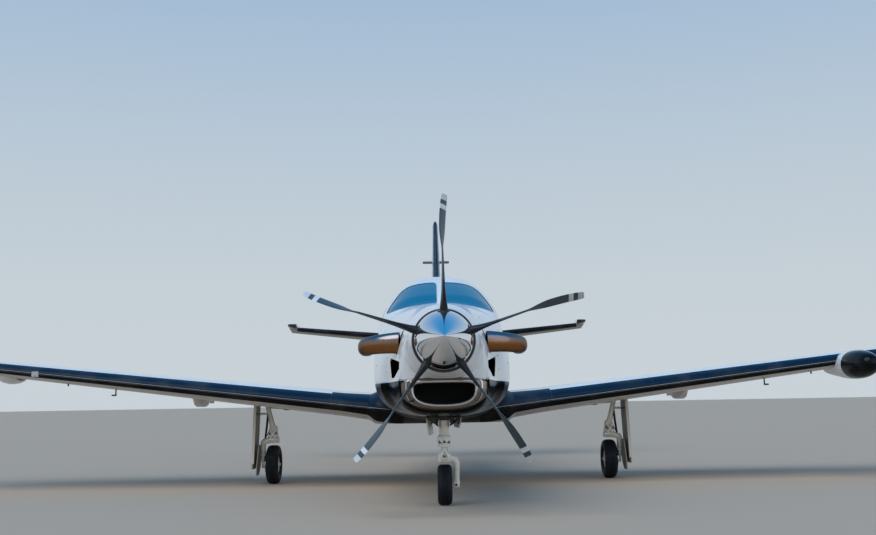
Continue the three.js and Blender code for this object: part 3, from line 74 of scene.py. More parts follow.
class Graph:
    """Short calls that add and wire the nodes of one shader tree."""

    def __init__(self, tree: bpy.types.NodeTree) -> None:
        """Keep the tree that the nodes go into."""
        self.tree = tree

    def add(self, kind: str, **settings: object) -> bpy.types.Node:
        """Add a node.

        Args:
            kind: Blender's name for the node type.
            settings: attributes to set on it.

        Returns:
            The new node.
        """
        node = self.tree.nodes.new(kind)
        for name, value in settings.items():
            setattr(node, name, value)
        return node

    def feed(self, socket: Socket, value: Value) -> None:
        """Link a value to an input, or set it there where it is plain.

        Args:
            socket: the input.
            value: an output, a number or a colour.
        """
        if isinstance(value, bpy.types.NodeSocket):
            self.tree.links.new(value, socket)
        elif isinstance(value, tuple) and len(value) == 3 and socket.type == "RGBA":
            socket.default_value = (*value, 1.0)
        else:
            socket.default_value = value

    def math(self, operation: str, *values: Value) -> Socket:
        """Do one sum.

        Args:
            operation: the Math node's operation.
            values: its inputs in order.

        Returns:
            The result.
        """
        node = self.add("ShaderNodeMath", operation=operation)
        for socket, value in zip(node.inputs, values):
            self.feed(socket, value)
        return node.outputs[0]

    def mix(self, factor: Value, first: Value, second: Value, colour: bool = False) -> Socket:
        """Mix two numbers or two colours.

        Args:
            factor: how much of the second.
            first: the value at factor 0.
            second: the value at factor 1.
            colour: whether they are colours.

        Returns:
            The mixture.
        """
        node = self.add("ShaderNodeMix", data_type="RGBA" if colour else "FLOAT")
        start = 6 if colour else 2
        for index, value in ((0, factor), (start, first), (start + 1, second)):
            self.feed(node.inputs[index], value)
        return node.outputs[2 if colour else 0]

    def step(self, value: Value, low: Value, high: Value) -> Socket:
        """Rise smoothly from 0 to 1.

        Args:
            value: the coordinate.
            low: where the rise starts.
            high: where it ends.

        Returns:
            The mask.
        """
        node = self.add("ShaderNodeMapRange", interpolation_type="SMOOTHSTEP", clamp=True)
        for index, item in enumerate((value, low, high)):
            self.feed(node.inputs[index], item)
        return node.outputs[0]

    def noise(self, vector: Value, scale: Value, detail: float = 3.0) -> Socket:
        """Sample soft noise.

        Args:
            vector: where.
            scale: its fineness.
            detail: its octaves.

        Returns:
            A value around a half.
        """
        node = self.add("ShaderNodeTexNoise")
        self.feed(node.inputs["Vector"], vector)
        self.feed(node.inputs["Scale"], scale)
        node.inputs["Detail"].default_value = detail
        return node.outputs["Fac"]

    def effect(self, kind: Effect, **inputs: Value) -> Socket:
        """Use a shared effect.

        Args:
            kind: which one.
            inputs: its inputs by name.

        Returns:
            Its output.
        """
        node = self.add("ShaderNodeGroup", node_tree=bpy.data.node_groups[kind.value])
        for name, value in inputs.items():
            self.feed(node.inputs[name], value)
        return node.outputs[0]

    def separate(self, vector: Socket) -> tuple[Socket, Socket, Socket]:
        """Split a vector into its three numbers.

        Args:
            vector: the vector.

        Returns:
            Its x, y and z.
        """
        node = self.add("ShaderNodeSeparateXYZ")
        self.feed(node.inputs[0], vector)
        return tuple(node.outputs)


@dataclass(frozen=True)
class Axes:
    """A surface point's object coordinates, in metres, and their three parts."""

    point: Socket
    x: Socket
    y: Socket
    z: Socket


class EffectLibrary:
    """Makes each shared shader group once."""

    @staticmethod
    def group(
        kind: Effect, inputs: dict[str, float | Colour], output: str, colour: bool = False,
    ) -> tuple[Graph, list[Socket], Socket]:
        """Start a group.

        Args:
            kind: which effect.
            inputs: input names with defaults; a colour or vector has three numbers.
            output: the output's name.
            colour: whether the output is a colour.

        Returns:
            The graph, its input sockets and the socket that takes the result.
        """
        tree = bpy.data.node_groups.new(kind.value, "ShaderNodeTree")
        for name, default in inputs.items():
            if isinstance(default, tuple):
                style = "NodeSocketColor" if name == "Color" else "NodeSocketVector"
            else:
                style = "NodeSocketFloat"
            socket = tree.interface.new_socket(name, in_out="INPUT", socket_type=style)
            if style == "NodeSocketFloat":
                socket.default_value = default
        tree.interface.new_socket(
            output, in_out="OUTPUT", socket_type="NodeSocketColor" if colour else "NodeSocketFloat",
        )
        graph = Graph(tree)
        source = graph.add("NodeGroupInput")
        target = graph.add("NodeGroupOutput")
        return graph, list(source.outputs)[:-1], target.inputs[0]

    def build(self) -> None:
        """Make every group."""
        zero = (0.0, 0.0, 0.0)
        g, (value, low, high, soft), out = self.group(
            Effect.BAND, {"Coordinate": 0.0, "Low": 0.0, "High": 1.0, "Softness": 0.001}, "Mask",
        )
        rise = g.step(value, g.math("SUBTRACT", low, soft), g.math("ADD", low, soft))
        fall = g.step(value, g.math("SUBTRACT", high, soft), g.math("ADD", high, soft))
        g.feed(out, g.math("SUBTRACT", rise, fall))
        g, (value, place, width), out = self.group(
            Effect.SEAM, {"Coordinate": 0.0, "Place": 0.0, "Width": 0.002}, "Mask",
        )
        away = g.math("ABSOLUTE", g.math("SUBTRACT", value, place))
        g.feed(out, g.math("SUBTRACT", 1.0, g.step(away, g.math("MULTIPLY", width, 0.5), width)))
        g, (vector, scale, amount), out = self.group(
            Effect.MOTTLE, {"Vector": zero, "Scale": 5.0, "Amount": 0.1}, "Shift",
        )
        g.feed(out, g.math("MULTIPLY", g.math("SUBTRACT", g.noise(vector, scale, 5.0), 0.5), amount))
        g, (colour, shift), out = self.group(Effect.TINT, {"Color": zero, "Shift": 0.0}, "Color", True)
        scaled = g.add("ShaderNodeVectorMath", operation="SCALE")
        g.feed(scaled.inputs[0], colour)
        g.feed(scaled.inputs["Scale"], g.math("ADD", shift, 1.0))
        g.feed(out, scaled.outputs[0])
        g, (vector, scale, amount), out = self.group(
            Effect.GRIME, {"Vector": zero, "Scale": 3.0, "Amount": 0.3}, "Mask",
        )
        g.feed(out, g.math("MULTIPLY", g.step(g.noise(vector, scale, 6.0), 0.45, 0.8), amount))
        names = {"Along": 0.0, "Across": 0.0, "Pitch": 0.03, "Size": 0.004}
        g, (along, across, pitch, size), out = self.group(Effect.RIVETS, names, "Mask")
        offset = g.math("MULTIPLY", g.math("SUBTRACT", g.math("FRACT", g.math("DIVIDE", along, pitch)), 0.5), pitch)
        away = g.math("SQRT", g.math("ADD", g.math("MULTIPLY", offset, offset), g.math("MULTIPLY", across, across)))
        g.feed(out, g.math("SUBTRACT", 1.0, g.step(away, g.math("MULTIPLY", size, 0.6), size)))
        g, (vector, stretch, scale), out = self.group(
            Effect.GRAIN, {"Vector": zero, "Stretch": zero, "Scale": 60.0}, "Value",
        )
        product = g.add("ShaderNodeVectorMath", operation="MULTIPLY")
        g.feed(product.inputs[0], vector)
        g.feed(product.inputs[1], stretch)
        g.feed(out, g.noise(product.outputs[0], scale, 2.0))


@dataclass(frozen=True)
class Layer:
    """Paint over part of a surface: where, and what it looks like there."""

    mask: Mask
    colour: Colour
    roughness: float
    metallic: float = 0.0
    coat: float | None = None


@dataclass(frozen=True)
class Finish:
    """A surface's look, as procedural shader settings."""

    name: str
    slot: str
    colour: Colour
    roughness: float
    metallic: float = 0.0
    coat: float = 0.0
    transmission: float = 0.0
    shift: float = 0.06
    grain: float = 9.0
    fine: float = 180.0
    bump: float = 0.0002
    stretch: Colour = (1.0, 1.0, 1.0)
    dust: float = 0.08
    dust_colour: Colour = (0.36, 0.32, 0.27)
    layers: tuple[Layer, ...] = ()
    seams: tuple[Mask, ...] = ()
    seam_colour: Colour = (0.05, 0.055, 0.06)
    specular: float = 0.5
    edge: Colour = (1.0, 1.0, 1.0)
    coat_roughness: float = 0.04
    seam_strength: float = 0.75
    seam_depth: float = 2.0

    def material(self) -> bpy.types.Material:
        """Make the material the first time, and find it after that.

        Returns:
            The material.
        """
        found = bpy.data.materials.get(self.name)
        if found:
            return found
        made = bpy.data.materials.new(self.name)
        made.use_nodes = True
        shader = made.node_tree.nodes["Principled BSDF"]
        g = Graph(made.node_tree)
        point = g.add("ShaderNodeTexCoord").outputs["Object"]
        axes = Axes(point, *g.separate(point))
        shift = g.effect(Effect.MOTTLE, Vector=point, Scale=self.grain, Amount=self.shift)
        grain = g.effect(Effect.GRAIN, Vector=point, Stretch=self.stretch, Scale=self.fine)
        colour: Value = g.effect(Effect.TINT, Color=self.colour, Shift=shift)
        rough: Value = g.math("ADD", g.math("MULTIPLY", shift, 1.2), self.roughness)
        metal: Value = self.metallic
        coat: Value = self.coat
        for layer in self.layers:
            mask = layer.mask(g, axes)
            colour = g.mix(mask, colour, layer.colour, True)
            rough = g.mix(mask, rough, layer.roughness)
            if layer.metallic != self.metallic or metal is not self.metallic:
                metal = g.mix(mask, metal, layer.metallic)
            if layer.coat is not None:
                coat = g.mix(mask, coat, layer.coat)
        height: Value = g.math("MULTIPLY", grain, 0.25)
        for seam in self.seams:
            mask = seam(g, axes)
            colour = g.mix(g.math("MULTIPLY", mask, self.seam_strength), colour, self.seam_colour, True)
            height = g.math("SUBTRACT", height, g.math("MULTIPLY", mask, self.seam_depth))
        grime = g.effect(Effect.GRIME, Vector=point, Scale=self.grain * 0.4, Amount=self.dust)
        colour = g.mix(grime, colour, self.dust_colour, True)
        rough = g.math("ADD", rough, g.math("MULTIPLY", grime, 0.5))
        lump = g.add("ShaderNodeBump")
        lump.inputs["Distance"].default_value = self.bump
        g.feed(lump.inputs["Height"], height)
        g.feed(shader.inputs["Base Color"], colour)
        g.feed(shader.inputs["Roughness"], rough)
        g.feed(shader.inputs["Metallic"], metal)
        g.feed(shader.inputs["Normal"], lump.outputs[0])
        g.feed(shader.inputs["Coat Weight"], coat)
        shader.inputs["Specular IOR Level"].default_value = self.specular
        shader.inputs["Specular Tint"].default_value = (*self.edge, 1.0)
        shader.inputs["Coat Roughness"].default_value = self.coat_roughness
        shader.inputs["Transmission Weight"].default_value = self.transmission
        return made


# The livery's swept line, in metres: where it starts to rise, how fast, and its height before that.
STRIPE_START, STRIPE_RISE, STRIPE_HEIGHT = -1.3, 0.022, 1.07


def stripe_height(g: Graph, a: Axes) -> Socket:
    """How far a point lies above the livery's swept line.

    Args:
        g: the material's graph.
        a: the surface point's axes.

    Returns:
        The height in metres.
    """
    run = g.math("MAXIMUM", g.math("SUBTRACT", a.y, STRIPE_START), 0.0)
    line = g.math("ADD", g.math("MULTIPLY", g.math("MULTIPLY", run, run), STRIPE_RISE), STRIPE_HEIGHT)
    return g.math("SUBTRACT", a.z, line)


def swept(low: float, high: float) -> Mask:
    """A band that follows the swept line, between two heights above it in metres."""
    return lambda g, a: g.effect(Effect.BAND, Coordinate=stripe_height(g, a), Low=low, High=high, Softness=0.0015)


def axis_band(axis: str, low: float, high: float, soft: float = 0.001) -> Mask:
    """A band between two places on the x, y or z axis, in metres, that fades over twice the soft value."""
    return lambda g, a: g.effect(Effect.BAND, Coordinate=getattr(a, axis), Low=low, High=high, Softness=soft)


def both(first: Mask, second: Mask) -> Mask:
    """The overlap of two masks."""
    return lambda g, a: g.math("MULTIPLY", first(g, a), second(g, a))


def most(g: Graph, masks: Iterable[Value]) -> Socket:
    """The highest of several masks.

    Args:
        g: the material's graph.
        masks: their values.

    Returns:
        Its value, or 0 where there is no mask.
    """
    total: Value = 0.0
    for mask in masks:
        total = g.math("MAXIMUM", total, mask)
    return total


def seam_at(axis: str, *places: float, width: float = 0.003) -> Mask:
    """Panel seams across one axis.

    Args:
        axis: the axis.
        places: where they lie, in metres.
        width: half a seam's width.

    Returns:
        The mask.
    """
    return lambda g, a: most(
        g, (g.effect(Effect.SEAM, Coordinate=getattr(a, axis), Place=place, Width=width) for place in places),
    )


def rivets_at(axis: str, along: str, *places: float) -> Mask:
    """Rows of flush rivets.

    Args:
        axis: the axis that the rows are placed on.
        along: the axis that they run along.
        places: where they lie, in metres.

    Returns:
        The mask.
    """
    def row(g: Graph, a: Axes, place: float) -> Socket:
        """One row's mask.

        Args:
            g: the material's graph.
            a: the surface point's axes.
            place: where the row lies.

        Returns:
            The mask's value.
        """
        across = g.math("SUBTRACT", getattr(a, axis), place)
        heads = g.effect(Effect.RIVETS, Along=getattr(a, along), Across=across, Pitch=0.032, Size=0.0032)
        return g.math("MULTIPLY", heads, 0.35)

    return lambda g, a: most(g, (row(g, a, place) for place in places))


def radius_band(low: float, high: float) -> Mask:
    """A band between two distances from the propeller's axis.

    Args:
        low: the smaller one, in metres.
        high: the larger one.

    Returns:
        The mask.
    """
    def mask(g: Graph, a: Axes) -> Socket:
        """Measure the radius from the shaft.

        Args:
            g: the material's graph.
            a: the surface point's axes.

        Returns:
            The mask's value.
        """
        rise = g.math("SUBTRACT", a.z, PROP_AXIS[2] * MM)
        radius = g.math("SQRT", g.math("ADD", g.math("MULTIPLY", a.x, a.x), g.math("MULTIPLY", rise, rise)))
        return g.effect(Effect.BAND, Coordinate=radius, Low=low, High=high, Softness=0.0015)

    return mask


@dataclass(frozen=True)
class EdgeLine:
    """Where a surface's leading edge runs, in metres along a span axis."""

    axis: str
    lead: float
    lead_slope: float
    chord: float
    chord_slope: float
    height: float = 0.0
    height_slope: float = 0.0
    origin: float = 0.0

    def along(self, g: Graph, a: Axes) -> Socket:
        """The distance out along the span."""
        return g.math("SUBTRACT", g.math("ABSOLUTE", getattr(a, self.axis)), self.origin)

    def linear(self, g: Graph, a: Axes, start: float, slope: float) -> Socket:
        """A value that changes evenly along the span."""
        return g.math("ADD", g.math("MULTIPLY", self.along(g, a), slope), start)

    def boot(self, fraction: float, low: float, high: float, side: int = 0) -> Mask:
        """The rubber boot over the leading edge.

        Args:
            fraction: how much of the chord it covers.
            low: where it starts along the span, in metres.
            high: where it ends.
            side: 1 for what lies above the edge, -1 for below it and 0 for both.

        Returns:
            The mask.
        """
        def mask(g: Graph, a: Axes) -> Socket:
            """Combine chord, span and side.

            Args:
                g: the material's graph.
                a: the surface point's axes.

            Returns:
                The mask's value.
            """
            back = g.math("SUBTRACT", a.y, self.linear(g, a, self.lead, self.lead_slope))
            part = g.math("DIVIDE", back, self.linear(g, a, self.chord, self.chord_slope))
            shape = g.effect(Effect.BAND, Coordinate=part, Low=-1.0, High=fraction, Softness=0.0015)
            span = g.effect(Effect.BAND, Coordinate=self.along(g, a), Low=low, High=high, Softness=0.001)
            shape = g.math("MULTIPLY", shape, span)
            if side:
                above = g.math("SUBTRACT", a.z, self.linear(g, a, self.height, self.height_slope))
                shape = g.math("MULTIPLY", shape, g.step(g.math("MULTIPLY", above, float(side)), 0.0, 0.002))
            return shape

        return mask

    def line(self, low: float, high: float, drop: float, width: float) -> Mask:
        """A thin line along the leading edge, a little below or above its middle.

        Args:
            low: the span where it starts.
            high: the span where it ends.
            drop: how far above the middle it lies.
            width: half its width.

        Returns:
            The mask.
        """
        def mask(g: Graph, a: Axes) -> Socket:
            """Follow the edge's height.

            Args:
                g: the material's graph.
                a: the surface point's axes.

            Returns:
                The mask's value.
            """
            above = g.math("SUBTRACT", a.z, self.linear(g, a, self.height + drop, self.height_slope))
            thin = g.effect(Effect.SEAM, Coordinate=above, Place=0.0, Width=width)
            return g.math("MULTIPLY", thin, self.boot(0.05, low, high)(g, a))

        return mask


PROP_AXIS = (0.0, 480.0, 1385.0)
NAVY = (0.0, 0.013, 0.035)
BELLY = (0.002, 0.006, 0.014)
BLACK = (0.0015, 0.002, 0.003)
SILVER = (0.62, 0.64, 0.67)
WHITE = (0.82, 0.82, 0.82)
WING_EDGE = EdgeLine("x", -1.82, 0.0473, 1.95, -0.1657, 0.762, 0.1177)
STAB_EDGE = EdgeLine("x", 3.66, 0.1814, 1.2, -0.2015, 1.9, 0.1051)
FIN_EDGE = EdgeLine("z", 3.16, 0.6154, 1.96, -0.5221, origin=1.83)

GLOSS = Finish("white_gloss", "white_paint", WHITE, 0.3, coat=0.6, specular=0.15)
LIVERY = (
    Layer(swept(-3.0, 0.0), BELLY, 0.4, coat=0.04),
    Layer(swept(0.016, 0.034), SILVER, 0.25, 0.8),
    Layer(swept(0.052, 0.06), NAVY, 0.3, coat=0.1),
)
FUSELAGE = replace(
    GLOSS, name="fuselage_paint", layers=LIVERY,
    seams=(
        seam_at("y", -2.37, -1.63, 0.42, 1.62, width=0.0022),
        rivets_at("y", "z", -2.385, -2.345, -1.645, -1.615, 1.605, 1.635),
    ),
)
TAIL_PAINT = replace(
    FUSELAGE, name="tail_cone_paint", slot="tail_paint",
    seams=(
        seam_at("y", 2.5, 3.4, 4.2, width=0.0022), rivets_at("y", "z", 1.905, 2.485, 2.515, 3.385, 3.415, 4.185),
    ),
)
COWL_PAINT = replace(
    GLOSS, name="cowl_paint", slot="cowl_white", layers=(
        Layer(axis_band("z", 1.0, 1.088, 0.0008), SILVER, 0.2, 0.8),
    ),
    seams=(seam_at("y", -4.02, width=0.0025), rivets_at("y", "z", -4.035, -4.005, -2.99)),
)
LOWER_COWL = Finish(
    "lower_cowl_metal", "lower_cowl", (0.075, 0.072, 0.068), 0.15, 0.95, shift=0.1, grain=5.0, edge=(0.2, 0.2, 0.2),
    layers=(
        Layer(axis_band("y", -3.4, 9.0), NAVY, 0.3), Layer(axis_band("y", -3.42, -3.4, 0.0006), SILVER, 0.18, 0.9),
    ),
    seams=(seam_at("y", -3.55, width=0.0022), seam_at("x", -0.26, 0.26, width=0.002)),
)
# Painted shade: the undersides of the wings and of their hinged parts are tinted a darker beige-grey.
WING_UNDERSIDE_SHADE = Layer(WING_EDGE.boot(1.6, 0.0, 6.3, -1), (0.6, 0.575, 0.54), 0.35, coat=0.2)
WING_LINES = (
    WING_UNDERSIDE_SHADE,
    Layer(WING_EDGE.boot(0.13, 0.0, 1.19, 1), NAVY, 0.42, coat=0.0),
    Layer(WING_EDGE.boot(0.088, 1.19, 6.18, 1), NAVY, 0.42, coat=0.0),
    Layer(WING_EDGE.boot(0.036, 0.0, 6.18, -1), BLACK, 0.6, coat=0.0),
    Layer(WING_EDGE.line(0.72, 6.16, -0.012, 0.0022), (0.12, 0.14, 0.16), 0.4, coat=0.0),
)
WING_PAINT = replace(
    GLOSS, name="wing_paint", layers=WING_LINES,
    seams=(
        seam_at("x", -5.2, -3.6, -2.3, -1.15, 1.15, 2.3, 3.6, 5.2, width=0.0018),
        rivets_at("x", "y", -5.185, -3.585, -2.285, -1.135, 1.135, 2.285, 3.585, 5.185),
    ),
)
MOVING_PAINT = replace(
    GLOSS, name="control_paint", layers=(WING_UNDERSIDE_SHADE,),
    seams=(rivets_at("x", "y", -5.5, -3.6, -2.3, 2.3, 3.6, 5.5),),
)
# Painted shade: the undersides of the stabilisers and elevators are tinted a dark olive-grey.
STAB_UNDERSIDE_SHADE = Layer(STAB_EDGE.boot(1.6, 0.0, 2.7, -1), (0.3, 0.31, 0.27), 0.4, coat=0.1)
STAB_PAINT = replace(
    GLOSS, name="stabiliser_paint", slot="tail_paint", layers=(
        STAB_UNDERSIDE_SHADE, Layer(STAB_EDGE.boot(0.085, 0.3, 2.6), BLACK, 0.45, coat=0.0),
    ),
)
FIN_PAINT = replace(
    GLOSS, name="fin_paint", slot="tail_paint",
    layers=(
        # Painted reflection: the wider teal band is blue sky painted on the white fin's sides beside the boot; the
        # narrow dark band inside it is the boot.
        Layer(FIN_EDGE.boot(0.1, 0.64, 2.14), (0.02, 0.12, 0.15), 0.32, coat=0.3),
        Layer(FIN_EDGE.boot(0.04, 0.64, 2.14), (0.0, 0.02, 0.05), 0.32, coat=0.3),
    ),
    seams=(seam_at("z", 2.5, 3.15, 3.86, width=0.002), rivets_at("z", "y", 2.515, 3.165)),
)
CHROME = Finish(
    "spinner_chrome", "polished_metal", (0.83, 0.84, 0.86), 0.045, 1.0, shift=0.03, dust=0.03, bump=0.00002,
)
LIP_METAL = replace(CHROME, name="lip_metal", colour=(0.5, 0.48, 0.46), roughness=0.1)
LIP_BRONZE = replace(CHROME, name="lip_bronze", colour=(0.2, 0.165, 0.13), roughness=0.16)
LIP_DARK = replace(CHROME, name="lip_dark", colour=(0.08, 0.077, 0.077), roughness=0.2)
STACK_METAL = Finish(
    "stack_metal", "stack_steel", (0.27, 0.24, 0.25), 0.22, 1.0,
    shift=0.18, grain=14.0, stretch=(1.0, 6.0, 6.0), edge=(0.5, 0.55, 0.6),
    # Painted reflection: the lower half of each stack is a darker bronze for the ground seen in it.
    layers=(Layer(axis_band("z", 1.0, 1.41, 0.035), (0.3, 0.13, 0.045), 0.3, 1.0),),
)
STACK_INSIDE = Finish("stack_soot", "stack_steel", (0.02, 0.018, 0.016), 0.9, 0.2)
BLADE = Finish(
    "blade_slate", "blade_paint", (0.038, 0.066, 0.092), 0.4, 0.1, shift=0.12, specular=0.25,
    layers=(
        Layer(radius_band(0.0, 0.46), (0.01, 0.013, 0.018), 0.34),
        Layer(radius_band(1.044, 1.084), (0.75, 0.76, 0.77), 0.4),
        Layer(radius_band(1.122, 1.3), (0.62, 0.64, 0.66), 0.4),
    ),
)
RADOME_BLACK = Finish(
    "radome_black", "black_gloss", (0.001, 0.002, 0.004), 0.1, coat=0.06, specular=0.12, bump=0.00004,
)
GLASS = Finish(
    "sky_glass", "glazing", (0.0, 0.165, 0.3), 0.03, coat=0.3, transmission=0.2, shift=0.03, dust=0.02,
    bump=0.00002,
)
PALE_SEAL = Finish("pale_seal", "white_paint", (0.5, 0.52, 0.55), 0.5)
SEAL = Finish("rubber_seal", "rubber", (0.05, 0.055, 0.06), 0.6)
CREAM = Finish(
    "gear_cream", "gear_paint", (0.8, 0.75, 0.66), 0.36, 0.0, coat=0.2, shift=0.14, grain=24.0, dust=0.35,
    dust_colour=(0.2, 0.15, 0.1),
)
RIM_PAINT = replace(CREAM, name="rim_enamel", colour=(0.6, 0.6, 0.58), dust=0.3)
STEEL = Finish("bare_steel", "gear_paint", (0.55, 0.56, 0.58), 0.16, 1.0, shift=0.08, stretch=(1.0, 1.0, 30.0))
DARK_PARTS = Finish("dark_parts", "gear_paint", (0.025, 0.025, 0.028), 0.45, 0.3, dust=0.3)
DOOR_PAINT = replace(
    GLOSS, name="gear_door_paint", slot="door_paint", colour=(0.62, 0.57, 0.48), roughness=0.3, coat=0.2, dust=0.22,
)
# Painted shade: the main gear doors' inner faces are a dark olive-brown.
DOOR_INSIDE_SHADE = replace(DOOR_PAINT, name="gear_door_inside_shade", colour=(0.2, 0.185, 0.145), roughness=0.5, coat=0.0)
TYRE = Finish(
    "tyre_rubber", "rubber", (0.006, 0.0085, 0.012), 0.7, shift=0.15, grain=16.0, fine=420.0, bump=0.0006,
    dust=0.16, dust_colour=(0.1, 0.09, 0.08), specular=0.25,
)
LEATHER = Finish("seat_leather", "cabin_leather", (0.5, 0.42, 0.32), 0.5, shift=0.1, fine=320.0, bump=0.0008)
CARPET = Finish("cabin_carpet", "floor_trim", (0.2, 0.2, 0.21), 0.95, shift=0.2, fine=600.0, bump=0.002)
LINER = Finish("cabin_liner", "floor_trim", (0.6, 0.57, 0.51), 0.7, fine=300.0, bump=0.0006)
# Painted shade: near-black for the cowls' inner faces, the intake duct and its plate, and the wheel-well roofs.
RECESS_SHADE = Finish("recess_shade_black", "casting", (0.014, 0.014, 0.015), 0.85)
PANEL_BLACK = Finish("panel_black", "black_gloss", (0.03, 0.031, 0.034), 0.5, fine=260.0, bump=0.0005)
SCREEN = Finish("panel_screen", "black_gloss", (0.01, 0.02, 0.03), 0.06, coat=0.7)
GREY_PLASTIC = Finish("antenna_sleeve", "antenna_grey", (0.1, 0.105, 0.115), 0.5)
RED_LENS = Finish("red_lens", "glazing", (0.6, 0.05, 0.05), 0.06, coat=0.6, transmission=0.3)
GREEN_LENS = Finish("green_lens", "glazing", (0.04, 0.4, 0.14), 0.06, coat=0.6, transmission=0.3)
CLEAR_LENS = Finish("clear_lens", "glazing", (0.8, 0.82, 0.85), 0.05, coat=0.6, transmission=0.7)
ENGINE_GREY = Finish("engine_casting", "casting", (0.2, 0.21, 0.22), 0.5, 0.6)


def circle(count: int) -> tuple[np.ndarray, np.ndarray]:
    """The cosines and sines of even steps round a circle."""
    angle = np.linspace(0, 2 * pi, count, endpoint=False)
    return np.cos(angle), np.sin(angle)


def bent(values: np.ndarray, power: float | np.ndarray) -> np.ndarray:
    """Values raised to a power, with their signs kept."""
    return np.sign(values) * np.abs(values) ** power


def airfoil(fraction: float, size: float) -> float:
    """The thickness of a wing's section.

    Args:
        fraction: the share of the chord.
        size: the section's greatest thickness.

    Returns:
        Half the thickness there.
    """
    f = min(max(fraction, 0.0), 1.0)
    shape = 5 * (0.2969 * sqrt(f) - 0.126 * f - 0.3516 * f**2 + 0.2843 * f**3 - 0.1015 * f**4)
    return max(shape * size, 2 * min(1.0, f * 60))


def in_scene(name: str, data: bpy.types.ID) -> Piece:
    """A new object around its data, linked to the scene.

    Args:
        name: its name.
        data: its mesh, light or camera.

    Returns:
        The object.
    """
    made = bpy.data.objects.new(name, data)
    bpy.context.scene.collection.objects.link(made)
    return made


def discard(work: Piece) -> None:
    """Delete an object and its mesh.

    Args:
        work: the object.
    """
    spare = work.data
    bpy.data.objects.remove(work)
    bpy.data.meshes.remove(spare)


def points_of(mesh: bpy.types.Mesh) -> np.ndarray:
    """A mesh's points as x, station and z in millimetres.

    Args:
        mesh: the mesh.

    Returns:
        One row for each point.
    """
    spots = np.empty(len(mesh.vertices) * 3)
    mesh.vertices.foreach_get("co", spots)
    return spots.reshape(-1, 3) / MM + TIP


